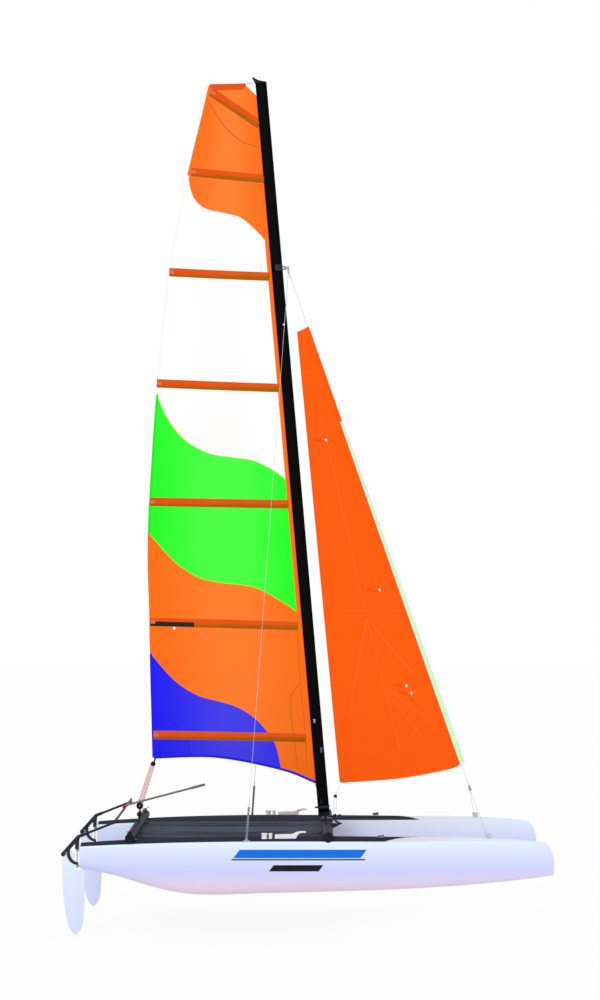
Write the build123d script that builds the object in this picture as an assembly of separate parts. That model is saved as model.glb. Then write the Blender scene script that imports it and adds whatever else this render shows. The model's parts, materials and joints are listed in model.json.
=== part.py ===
from build123d import *
import math
import os

# Sport catamaran. Millimetres, +X to the bow, +Y to port, +Z up.
# Origin: midships on the centreline, on the waterline.

# ---- driving dimensions ----
hull_spacing = 2000          # between the two hulls' centre planes
transom_x = -2490
bow_x = 2500
deck_crown = 0.2             # height of the deck's crown per half beam
gunwale_round = 16
seat_gap = 0.3               # between pieces that seat on each other
running_gap = 0.1            # round a pin in its bore

# lines of one hull: keel and sheer as (x, z), plan as (x, half beam)
keel_line = [
    (-2540, 128), (-1750, -77), (-1400, -152), (-1180, -168),
    (-850, -162), (500, -125), (1750, -52), (2540, 42),
]
sheer_line = [(-2540, 345), (-1800, 384), (-600, 408), (1200, 406), (2170, 396), (2540, 362)]
plan_line = [(-2540, 122), (-1500, 168), (-300, 180), (1000, 150), (2000, 75), (2540, 6)]
station_count = 15

grip_thickness = 3
grip_margin = 14             # bare gelcoat left beside the grip
grip_front_outboard = 710
grip_front_inboard = 1160

main_beam_x = 120
main_beam_z = 452
main_beam_radius = 55
rear_beam_x = -1960
rear_beam_z = 440
rear_beam_radius = 50
beam_wall = 3
beam_overhang = 150          # past each hull's centre plane
cap_thickness = 6
traveller_inset = 300        # track's end from the rear beam's end

trampoline_z = 405           # middle of the cloth
trampoline_thickness = 3
track_reach = 75             # from a beam's axis to its track's edge
track_depth = 20
rail_height = 42
rail_width = 30
rail_offset = 194            # rail's inner face from the hull's centre plane
slot_depth = 12
strap_y = 420
strap_width = 50
strap_sag = 24

striker_drop = 165           # below the main beam's underside
striker_offset = 240         # rod's end from the hull's centre plane
striker_radius = 6

ball_radius = 15
step_ball = Vector(95, 0, 560)
mast_foot = Vector(92, 0, 591)
mast_top_z = 8584
mast_rake = 4.94
mast_ahead = 50              # section's nose ahead of the mast's axis
mast_behind = 74
mast_half_width = 33
groove_radius = 5
groove_slot = 3.6
groove_start = 330           # up the mast from its foot
rotation_arm_reach = 22
vane_hole_x = 24
vane_hole_radius = 3

hounds = Vector(-347, 0, 6556)
hounds_pin_radius = 5
barrel_radius = 10
barrel_height = 24
tang_plate = 5
bridle_apex = Vector(1682, 0, 843)
bow_tang_x = 1790
bow_tang_height = 36
tow_hole_ahead = 34
tow_hole_radius = 5
wire_radius = 2
swage_radius = 4
chainplate_x = -735
chainplate_offset = 150      # outboard of the hull's centre plane
chainplate_rise = 34
adjuster_length = 330
adjuster_width = 22

sail_thickness = 3
luff_depth = 8               # how far the luff enters the mast's groove
main_camber = 95             # side shift of the camber curve's middle controls
batten_width = 90
# sail plan: (share of the mast's length, distance behind its axis)
throat_share = 0.9822
main_peak = (0.9993, 183)
main_head = (1.0036, 575)
main_clew = (0.0943, 1823)
main_girths = [(0.9802, 637), (0.7539, 1194), (0.4423, 1620), (0.2787, 1730)]
main_foot = [(0.0874, 1134), (0.0629, 434)]
batten_lines = [             # leech end, luff end
    ((0.9951, 565), (0.9509, 136)),
    ((0.8886, 862), (0.8708, 131)),
    ((0.7543, 1193), (0.7363, 144)),
    ((0.6040, 1437), (0.5834, 139)),
    ((0.4431, 1621), (0.4239, 150)),
    ((0.2792, 1730), (0.2570, 155)),
    ((0.1250, 1802), (0.1036, 171)),
]
batten_thickness = 5
jib_camber = 110
# jib plan: (share of the forestay's length, distance behind it)
jib_head = (0.8933, 119)
jib_clew = (0.0901, 1315)
jib_foot = [(0.0617, 699), (0.0480, 168)]
jib_track_x = 200            # middle of the track; it curves about the forestay's foot
jib_track_half = 430
jib_track_z = 508
jib_track_width = 22
jib_track_height = 12
jib_track_foot_y = 380
sleeve_radius = 13
sleeve_bore = 7
sleeve_low = 0.05            # shares of the forestay's length
sleeve_high = 0.895

pintle_reach = 34            # pintle line behind the transom
pintle_radius = 5
gudgeon_heights = (135, 300)
gudgeon_height = 22
eye_radius = 12
blade_pivot = (-112, 272)    # x from the pintle line, as on all of the rudder
blade_lead_x = 86
blade_trail_x = -156
blade_head_z = 88            # above it the blade is flat, between the stock's cheeks
blade_head_x = -22
blade_thickness = 20
blade_bolt_radius = 5
cheek = 7
tiller_start = (16, 444)
tiller_end = (411, 598)
tiller_radius = 13
crossbar_z = 622
crossbar_radius = 12.5
crossbar_pin_radius = 4
swivel_z = 660
extension_reach = Vector(888, -250, 255)
extension_radius = 11
swivel_ear = 5

half_spacing = hull_spacing / 2
pintle_x = transom_x - pintle_reach
crossbar_x = pintle_x + tiller_end[0]
beam_length = hull_spacing + 2 * beam_overhang
rail_inboard = half_spacing - rail_offset
striker_y = half_spacing - striker_offset
chainplate_y = half_spacing + chainplate_offset
sides = {"starboard": -1, "port": 1}
from_below = (Align.CENTER, Align.CENTER, Align.MIN)


# ---- helpers ----
def height_on(curve, x):
    """The height of a curve drawn from left to right, at x."""
    low, high = 0.0, 1.0
    for _ in range(40):
        middle = (low + high) / 2
        if (curve @ middle).X < x:
            low = middle
        else:
            high = middle
    return (curve @ low).Y


def interpolate(points):
    curve = Spline(*points)
    return lambda x: height_on(curve, x)


keel_at = interpolate(keel_line)
sheer_at = interpolate(sheer_line)
half_beam_at = interpolate(plan_line)


def rod(start, end, radius):
    start, end = Vector(start), Vector(end)
    place = Plane(origin=start, z_dir=end - start)
    return place * Cylinder(radius, (end - start).length, align=from_below)


def across(x, z, length, radius, y=0):
    """A cylinder lying across the boat."""
    return rod((x, y - length / 2, z), (x, y + length / 2, z), radius)


def upright(x, y, low, high, radius):
    return rod((x, y, low), (x, y, high), radius)


def side_plate(outline, width, y=0):
    """Edges drawn as (x, z) in the fore-and-aft plane, made a face and thickened evenly about y."""
    face = make_face([Plane.XZ * edge for edge in outline])
    return Pos(0, y, 0) * extrude(face, width / 2, both=True)


def closed(*points):
    return Polyline(*points, close=True).edges()


def bar_outline(start, end, width):
    """The two sides and two round ends of a bar, drawn as (x, z)."""
    run = Vector(end) - Vector(start)
    side = Vector(-run.Y, run.X).normalized() * (width / 2)
    tip = run.normalized() * (width / 2)
    start, end = Vector(start), Vector(end)
    return [
        Line(start + side, end + side),
        ThreePointArc(end + side, end + tip, end - side),
        Line(end - side, start - side),
        ThreePointArc(start - side, start - tip, start + side),
    ]


# ---- hulls ----
def hull_section(x):
    beam, keel, sheer = half_beam_at(x), keel_at(x), sheer_at(x)
    depth = sheer - keel
    edge = min(gunwale_round, beam * 0.5)
    inner = (beam - edge, sheer + 0.2 * edge)
    side = Bezier((0, keel), (0.78 * beam, keel), (beam, keel + 0.38 * depth), (beam, sheer - edge))
    shoulder = ThreePointArc((beam, sheer - edge), (beam - 0.27 * edge, sheer - 0.2 * edge), inner)
    crown = inner[1] + deck_crown * inner[0]
    deck = ThreePointArc(inner, (0, crown), (-inner[0], inner[1]))
    half = [side, shoulder]
    other = [mirror(line, about=Plane.YZ) for line in half]
    place = Plane(origin=(x, 0, 0), x_dir=(0, 1, 0), z_dir=(1, 0, 0))
    return place * make_face(half + [deck] + other)


def hull_body():
    first, last = keel_line[0][0], keel_line[-1][0]
    step = (last - first) / (station_count - 1)
    body = loft([hull_section(first + step * i) for i in range(station_count)])
    lip, deck_end, clear = (bow_x - 52, 345), (bow_x - 190, 400), bow_x + 200
    stem = [
        Line((bow_x, -200), (bow_x, 150)),
        ThreePointArc((bow_x, 150), (bow_x - 12, 255), lip),
        ThreePointArc(lip, (bow_x - 98, 382), deck_end),
        Polyline(deck_end, (deck_end[0], 460), (clear, 460), (clear, -200), (bow_x, -200)),
    ]
    stern = closed((transom_x, -200), (transom_x, 600), (transom_x - 200, 600), (transom_x - 200, -200))
    return body - side_plate(stem, 400) - side_plate(stern, 600)


def grip_body(hull):
    """Non-skid covering laid on the deck; its front end runs across on a diagonal."""
    aft = transom_x + 12
    outer_xs = [aft, -1700, -700, 100, grip_front_outboard]
    inner_xs = [grip_front_inboard, 300, -600, -1600, aft]
    outer = [(x, grip_margin - half_beam_at(x)) for x in outer_xs]
    inner = [(x, half_beam_at(x) - grip_margin) for x in inner_xs]
    outline = [Spline(*outer), Line(outer[-1], inner[0]), Spline(*inner), Line(inner[-1], outer[0])]
    prism = Pos(0, 0, 250) * extrude(make_face(outline), 350)
    return ((Pos(0, 0, grip_thickness) * hull) & prism) - hull


def drain_plug(side):
    """Screwed bung low in the transom."""
    y = side * (half_spacing - 55)
    flange = rod((transom_x, y, 215), (transom_x - 5, y, 215), 17)
    knob = rod((transom_x - 5, y, 215), (transom_x - 14, y, 215), 9)
    return flange + knob


# ---- beams and trampoline ----
def track_bar(x, direction):
    bar = Box(track_reach, 2 * rail_inboard, track_depth)
    return Pos(x - direction * track_reach / 2, 0, trampoline_z) * bar


def beam(x, z, radius, direction):
    """Tube across the hulls with a slotted track; direction is +1 where the track faces aft."""
    outer = across(x, z, beam_length, radius)
    bore = across(x, z, beam_length, radius - beam_wall)
    span = 2 * rail_inboard
    bar = track_bar(x, direction)
    slot_x = x - direction * (track_reach - slot_depth / 2)
    slot = Pos(slot_x, 0, trampoline_z) * Box(slot_depth, span, trampoline_thickness + 2 * seat_gap)
    return outer + bar - bore - slot


def beam_cap(x, z, radius, side):
    start = side * beam_length / 2
    cap = rod((x, start, z), (x, start + side * cap_thickness, z), radius)
    return chamfer(cap.faces().sort_by(Axis.Y)[-1 if side > 0 else 0].edges(), 2)


def trampoline_rail(side):
    front = main_beam_x - track_reach
    back = rear_beam_x + track_reach
    length = front - back
    middle = (front + back) / 2
    z = trampoline_z + track_depth / 2 - rail_height / 2
    rail = Pos(middle, side * (rail_inboard + rail_width / 2), z) * Box(length, rail_width, rail_height)
    gap = trampoline_thickness + 2 * seat_gap
    slot = Pos(middle, side * (rail_inboard + slot_depth / 2), trampoline_z) * Box(length, slot_depth, gap)
    return rail, rail - slot


def trampoline():
    reach = slot_depth - 2 * seat_gap
    front = main_beam_x - track_reach + reach
    back = rear_beam_x + track_reach - reach
    width = 2 * (rail_inboard + reach)
    corner = slot_depth + 2
    cloth = Pos((front + back) / 2, 0, trampoline_z) * Box(front - back, width, trampoline_thickness)
    notches = []
    for x in (front, back):
        for side in (-1, 1):
            notches.append(Pos(x, side * width / 2, trampoline_z) * Box(2 * corner, 2 * corner, 20))
    return cloth - notches


def toe_strap(side):
    """Webbing strap that hangs a little between the two beams."""
    front = main_beam_x - main_beam_radius - seat_gap
    back = rear_beam_x + rear_beam_radius + seat_gap
    middle = (front + back) / 2
    base = main_beam_z - 14
    low = ThreePointArc((back, base), (middle, base - strap_sag), (front, base))
    high = ThreePointArc((back, base + 3), (middle, base + 3 - strap_sag), (front, base + 3))
    ends = [Line(low @ 0, high @ 0), Line(low @ 1, high @ 1)]
    return side_plate([low, high] + ends, strap_width, side * strap_y)


def dolphin_striker():
    """Rod from beam end to beam end, pushed down by a post under the mast."""
    underside = main_beam_z - main_beam_radius
    low = (main_beam_x, 0, underside - striker_drop)
    post = upright(main_beam_x, 0, underside - striker_drop - 8, underside + 30, 14)
    striker = post
    for side in (-1, 1):
        end = Vector(main_beam_x, side * striker_y, underside - 18)
        lug = Pos(main_beam_x, side * striker_y, underside - 6) * Box(30, 40, 50)
        striker += rod(low, end, striker_radius) + lug
    return striker - across(main_beam_x, main_beam_z, beam_length, main_beam_radius) - track_bar(main_beam_x, 1)


def mast_step():
    top = main_beam_z + main_beam_radius
    foot = Pos(step_ball.X + 15, 0, top - 12) * Box(130, 110, 30, align=from_below)
    foot = fillet(foot.edges().filter_by(Axis.Z), 18)
    neck = Pos(step_ball.X, 0, top) * Cone(24, 9, step_ball.Z - top, align=from_below)
    ball = Pos(step_ball) * Sphere(ball_radius)
    return foot + neck + ball - across(main_beam_x, main_beam_z, beam_length, main_beam_radius)


def jib_rail(grow=0):
    """Curved rail ahead of the mast, its centre at the forestay's foot."""
    radius = bridle_apex.X - jib_track_x
    turn = math.degrees(math.asin(jib_track_half / radius))
    width, height = jib_track_width / 2 + grow, jib_track_height + grow
    arcs = [CenterArc((0, 0), radius + side * width, 180 - turn, 2 * turn) for side in (-1, 1)]
    ends = [Line(arcs[0] @ 0, arcs[1] @ 0), Line(arcs[0] @ 1, arcs[1] @ 1)]
    return Pos(bridle_apex.X, 0, jib_track_z) * extrude(make_face(arcs + ends), height)


def jib_track():
    """The rail with a knee near each end that seats on the main beam."""
    track = jib_rail()
    radius = bridle_apex.X - jib_track_x
    for side in (-1, 1):
        rail_x = bridle_apex.X - math.sqrt(radius ** 2 - jib_track_foot_y ** 2)
        middle_z = jib_track_z + 4
        tip = rail_x + 8
        knee = closed((80, 475), (80, middle_z), (tip, middle_z), (tip, jib_track_z - 8), (170, 455))
        track += side_plate(knee, 10, side * jib_track_foot_y)
    return track - across(main_beam_x, main_beam_z, beam_length, main_beam_radius)


def jib_car():
    """Car that runs on the jib's track, with an upright sheave."""
    top = jib_track_z + jib_track_height
    body = Pos(jib_track_x, 0, jib_track_z - 2) * Box(40, 56, jib_track_height + 12, align=from_below)
    body = fillet(body.edges().filter_by(Axis.Z), 8) - jib_rail(seat_gap)
    under = Pos(jib_track_x, 0, jib_track_z - 2) * Box(60, 80, 2 + seat_gap, align=from_below)
    cheeks = across(jib_track_x, top + 32, 26, 19) - across(jib_track_x, top + 32, 9, 30)
    neck = upright(jib_track_x, 0, top + 6, top + 18, 8)
    axle = across(jib_track_x, top + 32, 9, 6)
    return (body - under) + neck + cheeks + axle


def traveller_track():
    top = rear_beam_z + rear_beam_radius
    length = beam_length - 2 * traveller_inset
    rail = Pos(rear_beam_x, 0, top - 6) * Box(20, length, 12, align=from_below)
    head = Pos(rear_beam_x, 0, top + 6) * Box(28, length, 6, align=from_below)
    return rail + head - across(rear_beam_x, rear_beam_z, beam_length, rear_beam_radius)


def traveller_car():
    """Car clipped over the track, with the mainsheet's lower block on it."""
    top = rear_beam_z + rear_beam_radius
    body = Pos(rear_beam_x, 0, top + 1) * Box(44, 90, 22, align=from_below)
    body = fillet(body.edges().filter_by(Axis.Z), 8)
    head = Box(28 + 2 * seat_gap, 200, 6 + 2 * seat_gap, align=from_below)
    head = Pos(rear_beam_x, 0, top + 6 - seat_gap) * head
    neck = Pos(rear_beam_x, 0, top) * Box(20 + 2 * seat_gap, 200, 8, align=from_below)
    post = upright(rear_beam_x + 18, 0, top + 20, top + 60, 7)
    block = across(rear_beam_x + 18, top + 78, 34, 28)
    sheave = across(rear_beam_x + 18, top + 78, 8, 40) - across(rear_beam_x + 18, top + 78, 8, 20)
    return (body - head - neck) + post + (block - sheave)


# ---- standing rigging ----
def stay_frame(start, end):
    run = Vector(end) - Vector(start)
    return Plane(origin=start, x_dir=Vector(1, 0, -run.X / run.Z), z_dir=run)


def pivot_axis():
    return (hounds - step_ball).normalized()


pivot_place = Plane(origin=hounds, x_dir=Vector(pivot_axis().Z, 0, -pivot_axis().X), z_dir=pivot_axis())
stay_plate_x = 34            # ahead of the hounds pin; keeps the shrouds clear of the turned mast
stay_plate_z = -46
stay_plate_half = 4


def on_pivot(x, y, z):
    return pivot_place.from_local_coords(Vector(x, y, z))


def stay_plate_drop(thickness):
    return pivot_place * (Pos(stay_plate_x, 0, stay_plate_z / 2 - 6) * Box(22, thickness, 24 - stay_plate_z))


def stay_plate():
    """Barrel that turns on the hounds pin, with a plate that the three stays hang from."""
    barrel = Cylinder(barrel_radius, barrel_height) - Cylinder(hounds_pin_radius + running_gap, barrel_height)
    arm_end = stay_plate_x + 9
    arm = Box(arm_end - barrel_radius + 4, 2 * stay_plate_half, barrel_height)
    arm = Pos((barrel_radius + arm_end) / 2, 0, 0) * arm
    arm = pivot_place * (barrel + arm - Cylinder(barrel_radius - 1, barrel_height))
    return arm + stay_plate_drop(2 * stay_plate_half)


def hounds_tang():
    """Band round the mast's nose with two tongues and the pin."""
    band = mast_place * (Pos(0, 0, mast_height(hounds.Z)) * (extrude(mast_section(3), 35, both=True)))
    band -= mast_place * (Pos(-60, 0, mast_height(hounds.Z)) * Box(60, 200, 200))
    solid_mast = mast_place * (Pos(0, 0, mast_height(hounds.Z)) * extrude(mast_section(), 60, both=True))
    reach = 60
    tongues = []
    for sign in (-1, 1):
        z = sign * (barrel_height / 2 + seat_gap + tang_plate / 2)
        flat = Pos(-reach / 2, 0, z) * Box(reach, 2 * barrel_radius, tang_plate)
        nose = Pos(0, 0, z) * Cylinder(barrel_radius, tang_plate)
        tongues.append(pivot_place * (flat + nose))
    pin = pivot_place * Cylinder(hounds_pin_radius, barrel_height + 4 * tang_plate)
    return band + tongues + pin - solid_mast


def chainplate_point(side):
    return Vector(chainplate_x, side * chainplate_y, sheer_at(chainplate_x) + chainplate_rise)


def shroud_top(side):
    point = on_pivot(stay_plate_x, 0, stay_plate_z)
    return Vector(point.X, side * (stay_plate_half + 3), point.Z)


def shroud_frame(side):
    return stay_frame(chainplate_point(side), shroud_top(side))


def chainplate(side):
    eye = shroud_frame(side) * (Pos(0, 0, -20) * Box(26, 6, 62))
    pin_hole = shroud_frame(side) * (Rot(90, 0, 0) * Cylinder(4 + running_gap, 20))
    pad = Pos(chainplate_x, side * chainplate_y, sheer_at(chainplate_x) + 6) * Box(70, 34, 20)
    return eye + pad - pin_hole


def shroud_adjuster(side):
    """Two drilled straps pinned over the chainplate, closed by a block under the wire."""
    straps = []
    for sign in (-1, 1):
        strap = Box(adjuster_width, 3, adjuster_length + 10, align=from_below)
        straps.append(Pos(0, sign * (3 + seat_gap + 1.5), -10) * strap)
    block = Pos(0, 0, adjuster_length - 26) * Box(adjuster_width, 6 + 2 * seat_gap, 26, align=from_below)
    holes = [Pos(0, 0, 34 + 26 * i) * (Rot(90, 0, 0) * Cylinder(3.5, 40)) for i in range(10)]
    pin = Rot(90, 0, 0) * Cylinder(4, 16)
    bolt_heads = [Pos(0, sign * 8.4, 0) * (Rot(90, 0, 0) * Cylinder(7, 3)) for sign in (-1, 1)]
    return shroud_frame(side) * (block + straps - holes + pin + bolt_heads)


def shroud(side):
    """Wire from the adjuster to the stay plate, with a swaged terminal at each end."""
    place = shroud_frame(side)
    length = (shroud_top(side) - chainplate_point(side)).length
    wire = Pos(0, 0, adjuster_length) * Cylinder(wire_radius, length - adjuster_length - 20, align=from_below)
    low_swage = Pos(0, 0, adjuster_length) * Cylinder(swage_radius, 60, align=from_below)
    high_swage = Pos(0, 0, length - 70) * Cylinder(swage_radius, 66, align=from_below)
    eye = across(shroud_top(side).X, shroud_top(side).Z, 6, 9, shroud_top(side).Y)
    return place * (wire + low_swage + high_swage) + eye - stay_plate_drop(2 * stay_plate_half)


forestay_top = on_pivot(stay_plate_x + 4, 0, stay_plate_z - 10)
forestay_place = stay_frame(bridle_apex, forestay_top)
forestay_length = (forestay_top - bridle_apex).length


def on_forestay(x, z):
    """World (x, z) of a point given in the forestay's frame."""
    point = forestay_place.from_local_coords(Vector(x, 0, z))
    return (point.X, point.Z)


def forestay():
    wire = Pos(0, 0, 40) * Cylinder(wire_radius, forestay_length - 50, align=from_below)
    low_swage = Pos(0, 0, 40) * Cylinder(swage_radius, 60, align=from_below)
    high_swage = Pos(0, 0, forestay_length - 72) * Cylinder(swage_radius, 72, align=from_below)
    return forestay_place * (wire + low_swage + high_swage) - stay_plate_drop(2 * stay_plate_half)


def bridle_plate():
    """Small plate where the forestay and the two bridle wires meet."""
    body = Pos(0, 0, 10) * Box(26, 8, 60)
    return forestay_place * fillet(body.edges().filter_by(Axis.Y), 10)


def bow_tang_point(side):
    return Vector(bow_tang_x, side * half_spacing, sheer_at(bow_tang_x) + bow_tang_height + 16)


def bridle_wire(side):
    start = bow_tang_point(side) + Vector(0, -side * 8, 4)
    end = bridle_apex + Vector(0, side * 4, -4)
    run = (end - start).normalized()
    wire = rod(start, end, wire_radius)
    plate = forestay_place * (Pos(0, 0, 10) * Box(40, 8, 80))
    return wire + rod(start, start + run * 60, swage_radius) + rod(end - run * 60, end, swage_radius) - plate


def bow_tang(side):
    """Deck eye with a hole for the bridle wire and, ahead of it, one for a tow line."""
    point = bow_tang_point(side)
    plate = side_plate(bar_outline((point.X, point.Z), (point.X + tow_hole_ahead, point.Z), 36), 5, point.Y)
    web = Pos(point.X + tow_hole_ahead / 2, point.Y, point.Z - 32) * Box(tow_hole_ahead + 20, 5, 52)
    foot = Pos(point.X + tow_hole_ahead / 2, point.Y, point.Z - 40) * Box(tow_hole_ahead + 60, 34, 12)
    holes = [across(point.X + ahead, point.Z, 20, tow_hole_radius, point.Y) for ahead in (0, tow_hole_ahead)]
    return plate + web + foot - holes


# ---- mast ----
mast_place = Plane(
    origin=mast_foot,
    x_dir=(math.cos(math.radians(mast_rake)), 0, math.sin(math.radians(mast_rake))),
    z_dir=(-math.sin(math.radians(mast_rake)), 0, math.cos(math.radians(mast_rake))),
)
mast_length = (mast_top_z - mast_foot.Z) / math.cos(math.radians(mast_rake))


def mast_height(z):
    """Distance up the mast of a world height."""
    return (z - mast_foot.Z) / math.cos(math.radians(mast_rake))


def mast_section(grow=0):
    nose, tail, half = mast_ahead + grow, mast_behind + grow, mast_half_width + grow
    front = EllipticalCenterArc((0, 0), nose, half, start_angle=-90, arc_size=180)
    back = EllipticalCenterArc((0, 0), tail, half, start_angle=90, arc_size=180)
    return make_face([front, back])


def on_mast(x, z):
    """World (x, z) of a point given in the mast's frame."""
    point = mast_place.from_local_coords(Vector(x, 0, z))
    return (point.X, point.Z)


def mast():
    body = extrude(mast_section(), mast_length)
    groove = Pos(12 - mast_behind, 0, groove_start) * Cylinder(groove_radius, mast_length, align=from_below)
    slot = Pos(-mast_behind, 0, groove_start) * Box(24, groove_slot, mast_length, align=from_below)
    return mast_place * (body - groove - slot)


def mast_base():
    """Foot casting with the socket that sits over the step's ball."""
    body = mast_place * (Pos(0, 0, -36) * extrude(mast_section(3), 36))
    cup = Pos(step_ball) * Sphere(ball_radius + seat_gap)
    mouth = Pos(step_ball) * Cone(48, ball_radius, 48, align=(Align.CENTER, Align.CENTER, Align.MAX))
    return body - cup - mouth


def masthead():
    """Sloping cap with a short crane that carries the halyard's sheave."""
    outline = closed((52, 0), (52, 8), (-40, 34), (-96, 74), (-104, 62), (-84, 20), (-80, 0))
    cap = extrude(make_face([Plane.XZ * edge for edge in outline]), 6, both=True)
    plate = extrude(mast_section(2), 8)
    hole = Pos(vane_hole_x, 12, 0) * Cylinder(vane_hole_radius, 8, align=from_below)
    return mast_place * (Pos(0, 0, mast_length) * (cap + plate - hole))


def rotation_arm():
    """Spanner on the mast's aft side that sets its rotation."""
    band = Pos(0, 0, 60) * (extrude(mast_section(4), 14, both=True))
    tip = -mast_behind - rotation_arm_reach
    arm = Pos((tip - mast_behind) / 2, 0, 60) * Box(rotation_arm_reach + 10, 16, 16)
    end = Pos(tip, 0, 60) * Cylinder(12, 16)
    hole = Pos(tip, 0, 60) * Cylinder(5, 40)
    inside = extrude(mast_section(), 200)
    return mast_place * (band + arm + end - hole - inside)


# ---- sails ----
def cloth_band(place, controls, offset, thickness, length):
    """A cambered sheet: two copies of a curve, one thickness apart, run along the luff."""
    low, high = offset - thickness / 2, offset + thickness / 2
    inner = Bezier(*[(x, y + low) for x, y in controls])
    outer = Bezier(*[(x, y + high) for x, y in controls])
    ends = [Line(inner @ 0, outer @ 0), Line(inner @ 1, outer @ 1)]
    return place * extrude(make_face([inner, outer] + ends), length)


def main_controls():
    start = luff_depth - mast_behind
    return [(start, 0), (start - 90, 0), (start - 350, main_camber), (-1300, main_camber), (-1950, 0)]


def on_sail(share, chord):
    """World (x, z) of a point on the mainsail, from its share of the mast and its distance behind the axis."""
    return on_mast(-chord, share * mast_length)


def main_outline():
    luff = mast_behind - luff_depth
    tack, throat = on_mast(-luff, groove_start), on_sail(throat_share, luff)
    peak, head, clew = on_sail(*main_peak), on_sail(*main_head), on_sail(*main_clew)
    leech = Spline(head, *[on_sail(*girth) for girth in main_girths], clew)
    foot = Spline(clew, *[on_sail(*point) for point in main_foot], tack)
    return [leech, foot, Line(tack, throat), Line(throat, peak), Line(peak, head)]


def mainsail():
    band = cloth_band(mast_place, main_controls(), 0, sail_thickness, mast_length)
    return band & side_plate(main_outline(), 600)


def batten_pocket(leech_end, luff_end):
    """Pocket on the sail's starboard face."""
    offset = -sail_thickness / 2 - seat_gap - batten_thickness / 2
    band = cloth_band(mast_place, main_controls(), offset, batten_thickness, mast_length)
    return band & side_plate(bar_outline(on_sail(*leech_end), on_sail(*luff_end), batten_width), 600)


def clew_block():
    """Clew board on the sail's face with the mainsheet's upper block below it."""
    offset = -sail_thickness / 2 - seat_gap - 2.5
    clew_x, clew_z = on_sail(*main_clew)
    low, high, pulley = (clew_x + 37, clew_z + 30), (clew_x + 29, clew_z + 112), (clew_x - 3, clew_z - 68)
    board = cloth_band(mast_place, main_controls(), offset, 5, mast_length)
    board &= side_plate(bar_outline(low, high, 66), 600)
    hang = mast_place.to_local_coords(Vector(clew_x + 29, 0, clew_z + 30))
    y = height_on(Bezier(*reversed(main_controls())), hang.X) + offset
    hanger = side_plate(bar_outline(low, pulley, 16), 5, y)
    block = across(*pulley, 30, 26, y) - across(*pulley, 8, 40, y)
    return board + hanger + block + across(*pulley, 10, 16, y) - mainsail()


def jib_controls():
    start = -sleeve_radius - seat_gap
    return [(start, 0), (-350, jib_camber), (-850, 0.8 * jib_camber), (-1450, 0)]


def on_jib(share, chord):
    """World (x, z) of a point on the jib, from its share of the forestay and its distance behind it."""
    return on_forestay(-chord, share * forestay_length)


def jib():
    start = -sleeve_radius - seat_gap
    band = cloth_band(forestay_place, jib_controls(), 0, sail_thickness, forestay_length)
    tack, throat = on_jib(sleeve_low, -start), on_jib(sleeve_high, -start)
    head, clew = on_jib(*jib_head), on_jib(*jib_clew)
    foot = Spline(clew, *[on_jib(*point) for point in jib_foot], tack)
    return band & side_plate([Line(tack, throat), Line(throat, head), Line(head, clew), foot], 600)


def luff_sleeve():
    """Sleeve round the forestay; a bushing at each end runs on the wire."""
    length = (sleeve_high - sleeve_low) * forestay_length
    outer = Cylinder(sleeve_radius, length, align=from_below)
    bore = Cylinder(wire_radius + seat_gap, length, align=from_below)
    room = Pos(0, 0, 30) * Cylinder(sleeve_bore, length - 60, align=from_below)
    return forestay_place * (Pos(0, 0, sleeve_low * forestay_length) * (outer - bore - room))


# ---- rudders, drawn about the pintle line ----
def gudgeon(z):
    plate = Pos(pintle_reach - 2.5, 0, z) * Box(5, 60, 30)
    arm = Pos(pintle_reach / 2, 0, z) * Box(pintle_reach, 2 * eye_radius, gudgeon_height)
    eye = upright(0, 0, z - gudgeon_height / 2, z + gudgeon_height / 2, eye_radius)
    return plate + arm + eye - upright(0, 0, z - 50, z + 50, pintle_radius + running_gap)


def rudder_pin():
    """Pin through both gudgeons, with a head above the stock."""
    low, high = gudgeon_heights
    shank = upright(0, 0, low - 30, high + 56, pintle_radius)
    return shank + upright(0, 0, high + 52, high + 60, 10)


def rudder_stock():
    """Forked casting: two cheeks on the blade, lugs over the gudgeons and the tiller's socket."""
    gap = blade_thickness + 2 * seat_gap
    width = gap + 2 * cheek
    low, high = gudgeon_heights
    low_lug = low + gudgeon_height / 2 + seat_gap
    high_lug = high + gudgeon_height / 2 + seat_gap
    bar = side_plate(bar_outline((-148, 258), (8, 432), 44), width)
    knee = side_plate(closed((-21, high_lug), (18, high_lug), (24, 430), (-21, 400)), width)
    arm_edges = [
        ThreePointArc((-108, 290), (-76, 186), (0, low_lug)),
        Line((0, low_lug), (0, low_lug + 24)),
        ThreePointArc((0, low_lug + 24), (-50, 205), (-74, 300)),
        Line((-74, 300), (-108, 290)),
    ]
    arm = side_plate(arm_edges, width)
    lugs = [upright(0, 0, low_lug, low_lug + 24, 14), upright(0, 0, high_lug, high_lug + 26, 14)]
    slot_end = blade_head_x + 5
    slot = side_plate(closed((-236, 100), (slot_end, 100), (slot_end, 420), (-236, 420)), gap)
    room = Pos(6, 0, high_lug + 60) * Box(44, 24, 68)
    socket = rod((tiller_start[0] - 10, 0, tiller_start[1] - 4), along_tiller(70), tiller_radius + 5)
    bore = rod(along_tiller(0), along_tiller(200), tiller_radius)
    pin = upright(0, 0, 0, 600, pintle_radius)
    bolt = across(*blade_pivot, 60, blade_bolt_radius)
    head = upright(0, 0, high + 52 - seat_gap, high + 64, 11)
    return bar + knee + arm + lugs + socket - slot - bore - pin - bolt - head


def along_tiller(distance):
    start = Vector(tiller_start[0], 0, tiller_start[1])
    run = Vector(tiller_end[0], 0, tiller_end[1]) - start
    return start + run.normalized() * distance


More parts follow.
